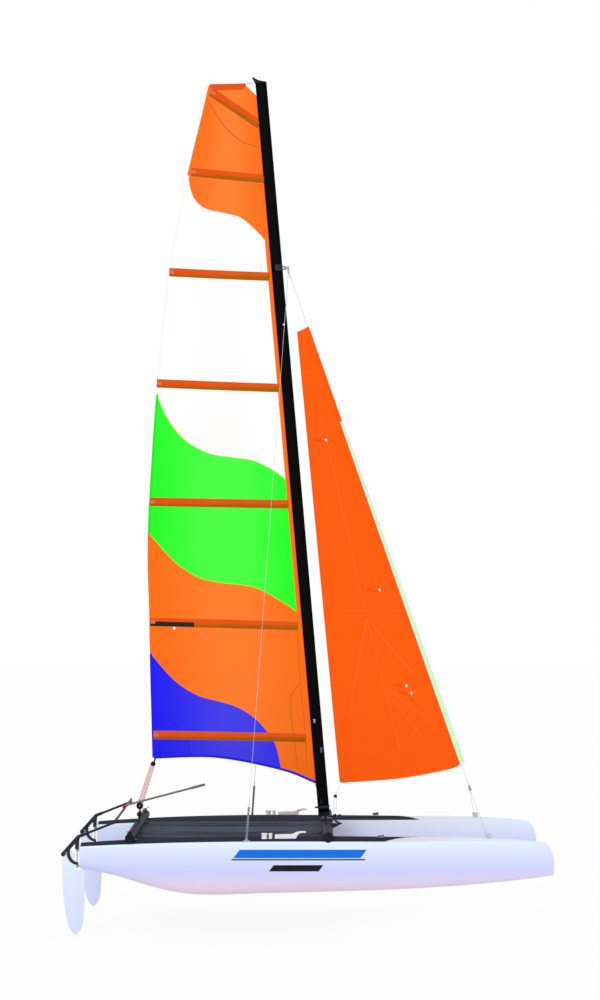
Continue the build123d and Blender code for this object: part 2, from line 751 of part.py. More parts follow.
def tiller_arm():
    """Tube from the stock to the crossbar, with the crossbar's pivot pin."""
    start = along_tiller(0)
    end = Vector(tiller_end[0], 0, tiller_end[1])
    tube = rod(start, end - (end - start).normalized() * 14, tiller_radius)
    pad = upright(end.X, 0, end.Z - 12, end.Z + 5, 15)
    collar = upright(end.X, 0, end.Z, crossbar_z - crossbar_radius - seat_gap, 9)
    pin = upright(end.X, 0, end.Z, crossbar_z + crossbar_radius + 3, crossbar_pin_radius)
    head = upright(end.X, 0, crossbar_z + crossbar_radius + seat_gap, crossbar_z + crossbar_radius + 4, 8)
    return tube + pad + collar + pin + head


def foil_section():
    """Blade's section below the stock, drawn as (x, y): round nose, fullest a third of the way back."""
    chord, half = blade_lead_x - blade_trail_x, blade_thickness / 2
    along = [(0, 0), (0.06, 0.6), (0.33, 1), (0.7, 0.62), (1, 0.1)]
    points = [(blade_lead_x - share * chord, height * half) for share, height in along]
    port = Spline(*points, tangents=[(0, 1), (-1, -0.06)])
    starboard = mirror(port, about=Plane.XZ)
    return make_face([port, starboard, Line(port @ 1, starboard @ 1)])


def rudder_blade():
    """Kick-up blade: flat head between the cheeks, foil below."""
    tip = (-18, -592)
    leading = Spline((blade_lead_x, blade_head_z), (80, -200), (68, -390), (32, -548), tip)
    trailing = Spline(tip, (-66, -545), (-116, -380), (-151, -120), (blade_trail_x, 60))
    shoulder, brow = (blade_trail_x, 240), (-76, 312)
    outline = [
        leading,
        trailing,
        Line((blade_trail_x, 60), shoulder),
        ThreePointArc(shoulder, (-136, 300), brow),
        Polyline(brow, (blade_head_x, 250), (blade_head_x, blade_head_z), (blade_lead_x, blade_head_z)),
    ]
    plate = side_plate(outline, blade_thickness)
    middle_x = (blade_lead_x + blade_trail_x) / 2
    head = plate & (Pos(middle_x, 0, blade_head_z) * Box(500, 100, 600, align=from_below))
    foil = plate & (Pos(0, 0, -800) * extrude(foil_section(), 800 + blade_head_z))
    return head + foil - across(*blade_pivot, 60, blade_bolt_radius + running_gap)


def blade_bolt():
    width = blade_thickness + 2 * seat_gap + 2 * cheek
    shank = across(*blade_pivot, width, blade_bolt_radius)
    heads = [across(*blade_pivot, 5, 10, side * (width + 5) / 2) for side in (-1, 1)]
    return shank + heads


# ---- tiller crossbar and extension ----
def crossbar():
    half = half_spacing + 24
    outer = across(crossbar_x, crossbar_z, 2 * half, crossbar_radius)
    bar = outer
    for start in (-half_spacing + 40, 20):
        length = half_spacing - 60
        bar -= across(crossbar_x, crossbar_z, length, crossbar_radius - 2, start + length / 2)
    for y in (-half_spacing, 0, half_spacing):
        bar -= upright(crossbar_x, y, crossbar_z - 20, crossbar_z + 20, crossbar_pin_radius + running_gap)
    return bar


swivel_point = Vector(crossbar_x, 0, swivel_z)
extension_tip = swivel_point + extension_reach
extension_heading = math.degrees(math.atan2(extension_reach.Y, extension_reach.X))
swivel_place = Plane(origin=swivel_point) * Rot(0, 0, extension_heading)


def tiller_swivel():
    """Fork that turns on the crossbar and carries the extension's eye."""
    top = crossbar_z + crossbar_radius + seat_gap - swivel_z
    gap = 12 + 2 * seat_gap
    disc = Pos(0, 0, top) * Cylinder(15, 6, align=from_below)
    fork = Pos(0, 0, top) * Box(22, gap + 2 * swivel_ear, -top + 11, align=from_below)
    slot = Pos(0, 0, top + 7) * Box(40, gap, -top + 11, align=from_below)
    under = crossbar_z - crossbar_radius - seat_gap - swivel_z
    pin = Pos(0, 0, under - 4) * Cylinder(crossbar_pin_radius, top - under + 6, align=from_below)
    nut = Pos(0, 0, under - 6) * Cylinder(7, 6, align=from_below)
    bolt = Rot(90, 0, 0) * Cylinder(3, gap + 2 * swivel_ear)
    return swivel_place * ((disc + fork - slot) + pin + nut + bolt)


def tiller_extension():
    run = (extension_tip - swivel_point).normalized()
    start = swivel_point + run * 26
    place = Plane(origin=swivel_point, x_dir=run, z_dir=Vector(run.Y, -run.X, 0))
    eye = place * (Cylinder(9, 12) + Pos(16, 0, 0) * Box(28, 14, 12) - Cylinder(3 + running_gap, 30))
    stick = rod(start, extension_tip, extension_radius)
    grip = rod(extension_tip - run * 160, extension_tip + run * 10, extension_radius + 3)
    return eye + stick + grip


# ---- every node ----
def make_nodes():
    nodes = {}
    hull = hull_body()
    grip = grip_body(hull)
    seats = across(main_beam_x, main_beam_z, 3000, main_beam_radius + seat_gap)
    seats += across(rear_beam_x, rear_beam_z, 3000, rear_beam_radius + seat_gap)
    hulls = {}
    for name, side in sides.items():
        blank, rail = trampoline_rail(side)
        place = Pos(0, side * half_spacing, 0)
        own_grip = place * (grip if side < 0 else mirror(grip, about=Plane.XZ))
        hulls[side] = place * hull - seats
        nodes[name + "_hull"] = hulls[side] - blank
        nodes[name + "_deck_grip"] = own_grip - seats - blank - chainplate(side) - bow_tang(side)
        nodes[name + "_trampoline_rail"] = rail
    nodes["drain_plugs"] = [drain_plug(side) for side in sides.values()]
    nodes["main_beam"] = beam(main_beam_x, main_beam_z, main_beam_radius, 1)
    nodes["rear_beam"] = beam(rear_beam_x, rear_beam_z, rear_beam_radius, -1)
    nodes["beam_end_caps"] = []
    for side in sides.values():
        nodes["beam_end_caps"].append(beam_cap(main_beam_x, main_beam_z, main_beam_radius, side))
        nodes["beam_end_caps"].append(beam_cap(rear_beam_x, rear_beam_z, rear_beam_radius, side))
    nodes["trampoline"] = trampoline()
    nodes["toe_straps"] = [toe_strap(side) for side in sides.values()]
    nodes["dolphin_striker"] = dolphin_striker()
    nodes["mast_step"] = mast_step()
    nodes["jib_track"] = jib_track()
    nodes["jib_car"] = jib_car()
    nodes["traveller_track"] = traveller_track()
    nodes["traveller_car"] = traveller_car()
    nodes["stay_plate"] = stay_plate()
    nodes["forestay"] = forestay()
    nodes["bridle_plate"] = bridle_plate()
    nodes["chainplates"] = [chainplate(side) - hulls[side] for side in sides.values()]
    nodes["bow_tangs"] = [bow_tang(side) - hulls[side] for side in sides.values()]
    nodes["rudder_gudgeons"] = []
    for name, side in sides.items():
        place = Pos(pintle_x, side * half_spacing, 0)
        nodes[name + "_shroud_adjuster"] = shroud_adjuster(side)
        nodes[name + "_shroud"] = shroud(side)
        nodes[name + "_bridle_wire"] = bridle_wire(side)
        nodes["rudder_gudgeons"] += [place * gudgeon(z) for z in gudgeon_heights]
        nodes[name + "_rudder_stock"] = place * rudder_stock()
        nodes[name + "_rudder_pin"] = place * rudder_pin()
        nodes[name + "_tiller_arm"] = place * tiller_arm()
        nodes[name + "_rudder_blade"] = place * rudder_blade()
        nodes[name + "_blade_bolt"] = place * blade_bolt()
    nodes["crossbar"] = crossbar()
    nodes["tiller_swivel"] = tiller_swivel()
    nodes["tiller_extension"] = tiller_extension()
    nodes["mast"] = mast()
    nodes["mast_base"] = mast_base()
    nodes["masthead"] = masthead()
    nodes["hounds_tang"] = hounds_tang()
    nodes["rotation_arm"] = rotation_arm()
    nodes["mainsail"] = mainsail()
    nodes["batten_pockets"] = [batten_pocket(*line) for line in batten_lines]
    nodes["clew_block"] = clew_block()
    nodes["jib"] = jib()
    nodes["luff_sleeve"] = luff_sleeve()
    return nodes


os.makedirs("parts", exist_ok=True)
for node, shape in make_nodes().items():
    whole = Compound(children=list(shape)) if isinstance(shape, list) else shape
    export_step(whole, f"parts/{node}.step")
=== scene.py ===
import json
import math

import bmesh
import bpy
import numpy as np
from mathutils import Matrix, Vector
from mathutils.bvhtree import BVHTree
from mathutils.geometry import delaunay_2d_cdt
from mathutils.kdtree import KDTree


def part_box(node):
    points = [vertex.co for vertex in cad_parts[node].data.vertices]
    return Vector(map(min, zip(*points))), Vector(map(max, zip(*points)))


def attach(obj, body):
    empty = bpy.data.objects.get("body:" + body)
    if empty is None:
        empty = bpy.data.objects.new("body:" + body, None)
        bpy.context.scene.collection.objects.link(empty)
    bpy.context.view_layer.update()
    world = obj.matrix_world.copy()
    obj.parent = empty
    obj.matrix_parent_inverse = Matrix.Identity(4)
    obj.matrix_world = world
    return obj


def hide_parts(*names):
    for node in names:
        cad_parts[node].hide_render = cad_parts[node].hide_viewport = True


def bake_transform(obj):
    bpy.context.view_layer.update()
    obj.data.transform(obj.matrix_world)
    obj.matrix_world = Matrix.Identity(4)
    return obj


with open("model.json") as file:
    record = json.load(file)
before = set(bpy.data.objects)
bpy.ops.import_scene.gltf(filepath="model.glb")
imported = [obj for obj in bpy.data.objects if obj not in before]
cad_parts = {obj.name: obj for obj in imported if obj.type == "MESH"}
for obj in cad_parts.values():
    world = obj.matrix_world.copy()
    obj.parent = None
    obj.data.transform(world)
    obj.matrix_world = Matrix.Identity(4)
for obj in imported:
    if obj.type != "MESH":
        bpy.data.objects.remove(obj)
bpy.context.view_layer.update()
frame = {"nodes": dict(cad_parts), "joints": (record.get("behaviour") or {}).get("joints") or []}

# Sport catamaran, under sail. Metres, +X to the bow, +Y to port, +Z up.
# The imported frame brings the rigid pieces; this script finishes them and adds
# the sails, cloth, ropes and small fittings.

nodes = frame["nodes"]
joints = {joint["name"]: joint for joint in frame["joints"]}
sides = {"starboard": -1, "port": 1}
mm = 0.001   # the patterns' real sizes are written in millimetres
print("frame loaded,", len(nodes), "nodes")


def linear(hexValue):
    # sRGB hex to the linear colour that the shaders take
    channels = [int(hexValue[i:i + 2], 16) / 255 for i in (1, 3, 5)]
    return [c / 12.92 if c <= 0.04045 else ((c + 0.055) / 1.055) ** 2.4 for c in channels] + [1.0]


def addNode(tree, kind, settings=None, inputs=None):
    # of the inputs, a socket is linked, a hex colour is made linear and any other value is set
    node = tree.nodes.new(kind)
    for name, value in (settings or {}).items():
        setattr(node, name, value)
    for socket, value in (inputs or {}).items():
        if isinstance(value, bpy.types.NodeSocket):
            tree.links.new(value, node.inputs[socket])
        else:
            node.inputs[socket].default_value = linear(value) if isinstance(value, str) else value
    return node


def emptyMaterial(name):
    material = bpy.data.materials.new(name)
    material.use_nodes = True
    material.node_tree.nodes.clear()
    return material


def makeMaterial(name, pattern, finish):
    # finish holds the plain shader values; the pattern says which sockets its own nodes feed
    material = emptyMaterial(name)
    tree = material.node_tree
    fed = pattern(tree, addNode(tree, "ShaderNodeTexCoord").outputs, finish)
    surface = addNode(tree, "ShaderNodeBsdfPrincipled", inputs={
        "Base Color": finish["colour"], "Roughness": finish["roughness"],
        "Metallic": finish.get("metallic", 0.0), "Coat Weight": finish.get("coat", 0.0),
        "Specular IOR Level": finish.get("specular", 0.15)})
    for socket, source in fed.items():
        tree.links.new(source, surface.inputs[socket])
    addNode(tree, "ShaderNodeOutputMaterial", inputs={"Surface": surface.outputs[0]})
    return material


def gelcoatPattern(tree, where, finish):
    # polyester gelcoat, moulded and polished: a deep gloss over a faint ripple, with painted light toned by
    # height
    ripple = addNode(tree, "ShaderNodeTexNoise", inputs={
        "Vector": where["Object"], "Scale": 1 / (finish["ripple"] * mm), "Detail": 2.0})
    dust = addNode(tree, "ShaderNodeTexNoise", inputs={
        "Vector": where["Object"], "Scale": 1 / (finish["dust"] * mm), "Detail": 5.0}).outputs[0]
    place = addNode(tree, "ShaderNodeSeparateXYZ", inputs={0: where["Object"]})
    height = addNode(tree, "ShaderNodeMapRange", inputs={
        0: place.outputs[2], 1: finish["low"], 2: finish["high"]})
    # painted light: the colour runs by height from keelTone through the plain colour to deckTone
    tones = addNode(tree, "ShaderNodeValToRGB", inputs={0: height.outputs[0]})
    ramp = tones.color_ramp
    ramp.elements[0].color = linear(finish["keelTone"])
    ramp.elements[1].color = linear(finish["deckTone"])
    ramp.elements.new(0.45).color = linear(finish["colour"])
    dusty = addNode(tree, "ShaderNodeMix", {"data_type": "RGBA"}, {0: dust, 6: finish["shade"], 7: "#FFFFFF"})
    tone = addNode(tree, "ShaderNodeMix", {"data_type": "RGBA", "blend_type": "MULTIPLY"},
                   {0: 0.5, 6: tones.outputs[0], 7: dusty.outputs[2]})
    rough = addNode(tree, "ShaderNodeMapRange", inputs={
        0: dust, 3: finish["roughness"] - 0.04, 4: finish["roughness"] + 0.08})
    bump = addNode(tree, "ShaderNodeBump", inputs={
        "Strength": 0.25, "Distance": 0.6 * mm, "Height": ripple.outputs[0]})
    return {"Base Color": tone.outputs[2], "Roughness": rough.outputs[0], "Normal": bump.outputs[0]}


def nonSkidPattern(tree, where, finish):
    # moulded foam rubber covering: matt, with a fine diamond grip
    turned = addNode(tree, "ShaderNodeMapping", inputs={
        "Vector": where["Object"], "Rotation": (0, 0, math.radians(45))})
    rows = [addNode(tree, "ShaderNodeTexWave", {"bands_direction": axis},
                    {"Vector": turned.outputs[0], "Scale": math.pi / (10 * finish["diamond"] * mm)})
            for axis in ("X", "Y")]
    grip = addNode(tree, "ShaderNodeMath", {"operation": "MULTIPLY"},
                   {0: rows[0].outputs["Fac"], 1: rows[1].outputs["Fac"]})
    grain = addNode(tree, "ShaderNodeTexNoise", inputs={
        "Vector": where["Object"], "Scale": 1 / (finish["grain"] * mm), "Detail": 4.0}).outputs[0]
    both = addNode(tree, "ShaderNodeMath", {"operation": "ADD"}, {0: grip.outputs[0], 1: grain})
    tone = addNode(tree, "ShaderNodeMix", {"data_type": "RGBA"},
                   {0: grain, 6: finish["shade"], 7: finish["colour"]})
    bump = addNode(tree, "ShaderNodeBump", inputs={
        "Strength": 0.7, "Distance": 0.8 * mm, "Height": both.outputs[0]})
    return {"Base Color": tone.outputs[2], "Normal": bump.outputs[0]}


def drawnPattern(tree, where, finish):
    # extruded or drawn alloy: fine die lines along its length, which the anodising keeps
    stretched = addNode(tree, "ShaderNodeMapping", inputs={
        "Vector": where["Object"], "Scale": finish["stretch"]})
    lines = addNode(tree, "ShaderNodeTexNoise", inputs={
        "Vector": stretched.outputs[0], "Scale": 1 / (finish["line"] * mm), "Detail": 3.0}).outputs[0]
    cloud = addNode(tree, "ShaderNodeTexNoise", inputs={   # three soft clouds to a metre
        "Vector": where["Object"], "Scale": 3.0, "Detail": 4.0})
    tone = addNode(tree, "ShaderNodeMix", {"data_type": "RGBA"},
                   {0: cloud.outputs[0], 6: finish["shade"], 7: finish["colour"]})
    rough = addNode(tree, "ShaderNodeMapRange", inputs={
        0: lines, 3: finish["roughness"] - 0.08, 4: finish["roughness"] + 0.1})
    bump = addNode(tree, "ShaderNodeBump", inputs={"Strength": 0.3, "Distance": 0.2 * mm, "Height": lines})
    return {"Base Color": tone.outputs[2], "Roughness": rough.outputs[0], "Normal": bump.outputs[0]}


def mouldedPattern(tree, where, finish):
    # injection moulded plastic with a fine spark-eroded grain
    grain = addNode(tree, "ShaderNodeTexNoise", inputs={
        "Vector": where["Object"], "Scale": 1 / (finish["grain"] * mm), "Detail": 3.0}).outputs[0]
    tone = addNode(tree, "ShaderNodeMix", {"data_type": "RGBA"},
                   {0: grain, 6: finish["shade"], 7: finish["colour"]})
    bump = addNode(tree, "ShaderNodeBump", inputs={"Strength": 0.35, "Distance": 0.3 * mm, "Height": grain})
    return {"Base Color": tone.outputs[2], "Normal": bump.outputs[0]}


def wovenPattern(tree, where, finish):
    # woven cloth or webbing: warp and weft rows, drawn from the UV map, which is in metres
    rows = [addNode(tree, "ShaderNodeTexWave", {"bands_direction": axis},
                    {"Vector": where["UV"], "Scale": math.pi / (10 * finish["thread"] * mm)})
            for axis in ("X", "Y")]
    weave = addNode(tree, "ShaderNodeMath", {"operation": "ADD"},
                    {0: rows[0].outputs["Fac"], 1: rows[1].outputs["Fac"]})
    half = addNode(tree, "ShaderNodeMath", {"operation": "MULTIPLY"},
                   {0: weave.outputs[0], 1: 0.5}).outputs[0]
    cloud = addNode(tree, "ShaderNodeTexNoise", inputs={
        "Vector": where["UV"], "Scale": 1 / (400 * mm), "Detail": 3.0})
    share = addNode(tree, "ShaderNodeMath", {"operation": "MULTIPLY_ADD", "use_clamp": True},
                    {0: half, 1: finish.get("threadShare", 0.25), 2: cloud.outputs[0]})
    tone = addNode(tree, "ShaderNodeMix", {"data_type": "RGBA"},
                   {0: share.outputs[0], 6: finish["shade"], 7: finish["colour"]})
    if "belly" in finish:   # painted light across the middle of the chord, where the camber would catch it; the chord map runs from leech to luff
        chord = addNode(tree, "ShaderNodeUVMap", {"uv_map": "chord"})
        across = addNode(tree, "ShaderNodeSeparateXYZ", inputs={0: chord.outputs[0]})
        slopes = [addNode(tree, "ShaderNodeMapRange", {"interpolation_type": "SMOOTHSTEP"},
                          {0: across.outputs[0], 1: edge, 2: full})
                  for edge, full in ((0.0, 0.5), (1.0, 0.55))]
        middle = addNode(tree, "ShaderNodeMath", {"operation": "MULTIPLY"},
                         {0: slopes[0].outputs[0], 1: slopes[1].outputs[0]})
        tone = addNode(tree, "ShaderNodeMix", {"data_type": "RGBA"},
                       {0: middle.outputs[0], 6: tone.outputs[2], 7: finish["belly"]})
    bump = addNode(tree, "ShaderNodeBump", inputs={
        "Strength": finish.get("strength", 0.35), "Distance": finish.get("depth", 0.2) * mm, "Height": half})
    return {"Base Color": tone.outputs[2], "Normal": bump.outputs[0]}


def braidedPattern(tree, where, finish):
    # braided rope: strands cross and leave flecks, read from the UV map along and round the rope
    parts = addNode(tree, "ShaderNodeSeparateXYZ", inputs={0: where["UV"]})
    strands = []
    for sign in (1, -1):
        around = addNode(tree, "ShaderNodeMath", {"operation": "MULTIPLY"},
                         {0: parts.outputs[1], 1: 2.0 * sign})
        turn = addNode(tree, "ShaderNodeMath", {"operation": "MULTIPLY_ADD"},
                       {0: parts.outputs[0], 1: 1 / (finish["pitch"] * mm), 2: around.outputs[0]})
        angle = addNode(tree, "ShaderNodeMath", {"operation": "MULTIPLY"},
                        {0: turn.outputs[0], 1: 2 * math.pi})
        strands.append(addNode(tree, "ShaderNodeMath", {"operation": "SINE"},
                               {0: angle.outputs[0]}).outputs[0])
    over = addNode(tree, "ShaderNodeMath", {"operation": "MULTIPLY"}, {0: strands[0], 1: strands[1]})
    flecks = addNode(tree, "ShaderNodeMath", {"operation": "GREATER_THAN"},
                     {0: strands[0], 1: finish["fleck"]})
    tone = addNode(tree, "ShaderNodeMix", {"data_type": "RGBA"},
                   {0: flecks.outputs[0], 6: finish["colour"], 7: finish["shade"]})
    bump = addNode(tree, "ShaderNodeBump", inputs={
        "Strength": 0.6, "Distance": 0.8 * mm, "Height": over.outputs[0]})
    return {"Base Color": tone.outputs[2], "Normal": bump.outputs[0]}


def laidPattern(tree, where, finish):
    # laid stainless wire: the strands wind round it, drawn coarser than the real lay so that they show
    strands = addNode(tree, "ShaderNodeTexWave", {"bands_direction": "DIAGONAL"}, {
        "Vector": where["Object"], "Scale": math.pi / (10 * finish["lay"] * mm)}).outputs["Fac"]
    tone = addNode(tree, "ShaderNodeMix", {"data_type": "RGBA"},
                   {0: strands, 6: finish["shade"], 7: finish["colour"]})
    bump = addNode(tree, "ShaderNodeBump", inputs={"Strength": 0.5, "Distance": 0.4 * mm, "Height": strands})
    return {"Base Color": tone.outputs[2], "Normal": bump.outputs[0]}


# name: (pattern, slot, plain values); the pattern sizes ripple, dust, diamond, grain, line, lay,
# pitch, thread and depth are in millimetres
finishes = {
    "polishedGelcoat": (gelcoatPattern, "gelcoat", {   # pale, with a painted warm reflection towards the keel and a painted cool highlight towards the deck
        "colour": "#CDD3FF", "keelTone": "#F6D8E0", "deckTone": "#E4F4FF", "low": -0.17, "high": 0.42,
        "shade": "#F2F2F8", "roughness": 0.3, "coat": 0.15, "specular": 0.4, "ripple": 350, "dust": 900}),
    "glassBlade": (gelcoatPattern, "blade_laminate", {   # glass laminate, moulded in a polished tool, with painted shade lower down and a painted highlight higher up
        "colour": "#DCE3FF", "keelTone": "#D8DEFF", "deckTone": "#E6F2FF", "low": -0.6, "high": 0.3,
        "shade": "#F0F2FA", "roughness": 0.28, "coat": 0.2, "specular": 0.4, "ripple": 250, "dust": 500}),
    "rubberGrip": (nonSkidPattern, "non_skid", {   # foam rubber takes up the light, so it reads dark and matt
        "colour": "#2F3344", "shade": "#262A38", "roughness": 0.85, "specular": 0.1,
        "diamond": 8, "grain": 3}),
    "blackAnodised": (drawnPattern, "black_anodised", {   # a dull, slightly blue black
        "colour": "#2E3343", "shade": "#272B39", "roughness": 0.6, "specular": 0.08,
        "stretch": (1, 0.02, 1), "line": 4}),
    "blackMastAlloy": (drawnPattern, "black_anodised", {   # anodised deeper than the beams
        "colour": "#030405", "shade": "#010102", "roughness": 0.5, "specular": 0.04,
        "stretch": (1, 1, 0.02), "line": 4}),
    "greyAnodised": (drawnPattern, "grey_anodised", {   # etched before anodising, an even satin grey
        "colour": "#7C8189", "shade": "#6C7178", "metallic": 0.2, "roughness": 0.5,
        "stretch": (1, 0.05, 0.3), "line": 3}),
    "darkAlloy": (drawnPattern, "black_anodised", {   # cast or machined, so it has no draw lines
        "colour": "#272B34", "shade": "#1C1F27", "metallic": 0.1, "roughness": 0.5, "specular": 0.2,
        "stretch": (1, 1, 1), "line": 6}),
    "satinStainless": (drawnPattern, "stainless", {   # bead blasted tangs, paler and duller than the plates
        "colour": "#C6CBD8", "shade": "#B6BBCA", "metallic": 0.5, "roughness": 0.5,
        "stretch": (1, 1, 0.5), "line": 2}),
    "polishedStainless": (drawnPattern, "stainless", {   # buffed along its length, bright with soft streaks
        "colour": "#9EA1A7", "shade": "#8A8D93", "metallic": 1.0, "roughness": 0.3,
        "stretch": (1, 1, 0.2), "line": 3}),
    "stainlessWire": (laidPattern, "stainless", {   # drawn wires laid in strands, with small glints
        "colour": "#C9CBD0", "shade": "#A4A7AD", "metallic": 0.8, "roughness": 0.35, "lay": 12}),
    "meshCloth": (wovenPattern, "mesh", {   # open polyester mesh; its real 1 mm pitch is drawn at 6
        "colour": "#3F475B", "shade": "#353C4C", "roughness": 0.85, "specular": 0.2, "thread": 6,
        "threadShare": 0.5, "depth": 0.8, "strength": 0.7}),
    "hemWebbing": (wovenPattern, "mesh", {   # close woven polyester tape, darker than the open mesh
        "colour": "#3A404C", "shade": "#2E333D", "roughness": 0.8, "specular": 0.2, "thread": 3,
        "threadShare": 0.5, "depth": 0.5, "strength": 0.6}),
    "nylonWebbing": (wovenPattern, "webbing", {   # woven nylon, dull and soft, with a coarse rib
        "colour": "#3C424E", "shade": "#2C313B", "roughness": 0.8, "specular": 0.2, "thread": 2.5,
        "threadShare": 0.5, "depth": 0.6, "strength": 0.7}),
}
# injection moulded nylon, half dull from its tool, and printed vinyl film, a little smoother:
# (slot, colour, shade, roughness, grain)
moulded = {
    "blackNylon": ("black_plastic", "#15161B", "#0D0E12", 0.45, 0.9),
    "redNylon": ("red_plastic", "#C4121A", "#A00C14", 0.4, 0.9),
    "whiteNylon": ("gelcoat", "#F2F2F2", "#E4E4E6", 0.4, 0.9),
    "greyNylon": ("black_plastic", "#6C7A76", "#5C6966", 0.45, 0.9),
    "blueVinyl": ("decal", "#0B74EA", "#0968D6", 0.35, 3),
    "blackVinyl": ("decal", "#16161C", "#0F0F14", 0.35, 3),
}
for name, (slotName, colour, shade, roughness, grain) in moulded.items():
    finishes[name] = (mouldedPattern, slotName, {
        "colour": colour, "shade": shade, "roughness": roughness, "grain": grain})
# resin-finished polyester cloth, crisp with a low sheen: (slot, colour, shade, thread, roughness, what else)
# its real threads are about 0.3 mm apart and are drawn coarser to show
cloths = {
    # belly is a painted lighter band across the middle of each panel's chord
    "orangeSailcloth": ("main_sailcloth", "#FF7002", "#FF6800", 3, 0.55, {"belly": "#FF7C26"}),
    "orangeEdgeCloth": ("main_sailcloth", "#FF7406", "#FC6C00", 2, 0.55, {}),
    "whiteSailcloth": ("main_sailcloth", "#FFFEFE", "#FBF9F9", 3, 0.5, {"belly": "#FEF8F8"}),
    "whiteEdgeCloth": ("main_sailcloth", "#FBF7F5", "#F4EEEB", 2, 0.5, {}),
    "greenSailcloth": ("main_sailcloth", "#26FC26", "#16F41A", 3, 0.55, {"belly": "#46FF42"}),
    "greenEdgeCloth": ("main_sailcloth", "#1CF020", "#12E416", 2, 0.55, {}),
    "limeTape": ("main_sailcloth", "#C2E81E", "#B0DC12", 2, 0.55, {}),
    "blueSailcloth": ("main_sailcloth", "#1C18FA", "#1410F6", 3, 0.55, {"belly": "#403CEC"}),
    "blueHemCloth": ("main_sailcloth", "#1C10F2", "#120AE6", 2, 0.55, {}),
    "seamThread": ("main_sailcloth", "#D2701E", "#C26216", 1.5, 0.7, {}),   # zigzag stitching, one band
    "labelCloth": ("main_sailcloth", "#23201F", "#191716", 2, 0.6, {}),
    "pocketCloth": ("batten_cloth", "#E45604", "#DA4C00", 2, 0.5, {"specular": 0.08}),
    "pocketUnderCloth": ("batten_cloth", "#B66206", "#A45802", 2, 0.55, {"specular": 0.05}),   # painted shade of the pocket's rounded underside
    "tabWebbing": ("batten_cloth", "#DC7C5E", "#C86C50", 2, 0.7, {}),
    "jibCloth": ("jib_sailcloth", "#FF5F02", "#FF5800", 3, 0.55, {"specular": 0.08}),
    "jibSeamCloth": ("jib_sailcloth", "#FF6C12", "#FF660A", 3, 0.55, {}),
    "jibPatchCloth": ("jib_sailcloth", "#FA6212", "#F45C0C", 3, 0.55, {}),
    "paleSleeveCloth": ("sleeve_cloth", "#F6FBF4", "#ECF5E8", 2, 0.55, {}),
    "greenSleeveCloth": ("sleeve_cloth", "#D0FFC8", "#BEFAB6", 2, 0.55, {}),
}
for name, (slotName, colour, shade, thread, roughness, rest) in cloths.items():
    finishes[name] = (wovenPattern, slotName, {
        "colour": colour, "shade": shade, "roughness": roughness, "thread": thread, **rest})
# braided polyester rope, dull and fibrous: (colour, flecks' colour, pitch, fleck level)
# a higher fleck level leaves fewer flecks
ropes = {
    "mainsheetRope": ("#EFD0CE", "#E4B0B2", 45, 0.05),
    "jibsheetRope": ("#F4F4F2", "#C9CBD0", 30, 0.3),
    "redRope": ("#C4182A", "#7E0E1C", 20, 0.5),
    "blueRope": ("#2A4FC8", "#1A2F8C", 20, 0.5),
    "blackRope": ("#1D1F24", "#3A3E46", 20, 0.4),
}
for name, (colour, second, pitch, fleck) in ropes.items():
    finishes[name] = (braidedPattern, "rope", {
        "colour": colour, "shade": second, "roughness": 0.8, "pitch": pitch, "fleck": fleck})
made = {name: makeMaterial(name, pattern, finish) for name, (pattern, _, finish) in finishes.items()}
print("finishes made:", len(made))

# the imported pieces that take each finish, with no word for the side they are on
finishedNodes = {
    "polishedGelcoat": ["hull"], "glassBlade": ["rudder_blade"], "rubberGrip": ["deck_grip"],
    "blackAnodised": ["trampoline_rail", "main_beam", "rear_beam", "traveller_track", "jib_track"],
    "blackMastAlloy": ["mast"],
    "greyAnodised": ["shroud_adjuster", "dolphin_striker", "tiller_extension"],
    "darkAlloy": ["rudder_stock", "tiller_arm", "mast_step", "crossbar", "hounds_tang", "rotation_arm"],
    "satinStainless": ["bow_tangs"],
    "polishedStainless": ["rudder_pin", "blade_bolt", "stay_plate", "bridle_plate", "chainplates",
                          "rudder_gudgeons"],
    "stainlessWire": ["shroud", "bridle_wire", "forestay"],
    "blackNylon": ["beam_end_caps", "traveller_car", "mast_base", "masthead", "clew_block", "jib_car"],
    "redNylon": ["tiller_swivel"], "whiteNylon": ["drain_plugs"],
    "meshCloth": ["trampoline"], "nylonWebbing": ["toe_straps"], "orangeSailcloth": ["mainsail"],
    "pocketCloth": ["batten_pockets"], "jibCloth": ["jib"], "paleSleeveCloth": ["luff_sleeve"],
}
nodeFinish = {plainName: finish for finish, names in finishedNodes.items() for plainName in names}
for name, node in nodes.items():
    plainName = name.replace("starboard_", "").replace("port_", "")
    node.data.materials.clear()
    node.data.materials.append(made[nodeFinish[plainName]])
print("packed pieces finished")


def newBatch():
    # faces gathered for one piece, each with the finish that it takes
    return {"points": [], "faces": [], "finishes": [], "uvs": []}


def addFaces(batch, points, faces, finish, uvs=None):
    start = len(batch["points"])
    batch["points"] += [tuple(point) for point in points]
    for i, face in enumerate(faces):
        batch["faces"].append([start + corner for corner in face])
        batch["finishes"].append(finish[i] if isinstance(finish, list) else finish)
        batch["uvs"].append(uvs[i] if uvs else [(0.0, 0.0)] * len(face))


def makePiece(name, batch, body, replaced=(), sharp=35):
    mesh = bpy.data.meshes.new(name)
    mesh.from_pydata(batch["points"], [], batch["faces"])
    used = list(dict.fromkeys(batch["finishes"]))
    for finish in used:
        mesh.materials.append(made[finish])
    mesh.polygons.foreach_set("material_index", [used.index(finish) for finish in batch["finishes"]])
    layer = mesh.uv_layers.new(name="cloth")
    layer.data.foreach_set("uv", [value for uvs in batch["uvs"] for uv in uvs for value in uv])
    form = bmesh.new()
    form.from_mesh(mesh)
    bmesh.ops.recalc_face_normals(form, faces=form.faces)
    form.to_mesh(mesh)
    form.free()
    mesh.polygons.foreach_set("use_smooth", [True] * len(mesh.polygons))
    mesh.set_sharp_from_angle(angle=math.radians(sharp))
    piece = bpy.data.objects.new(name, mesh)
    bpy.context.scene.collection.objects.link(piece)
    if body:   # a rope that is blended between two bodies rides on neither
        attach(piece, body)
    if replaced:
        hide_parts(*replaced)
    return piece


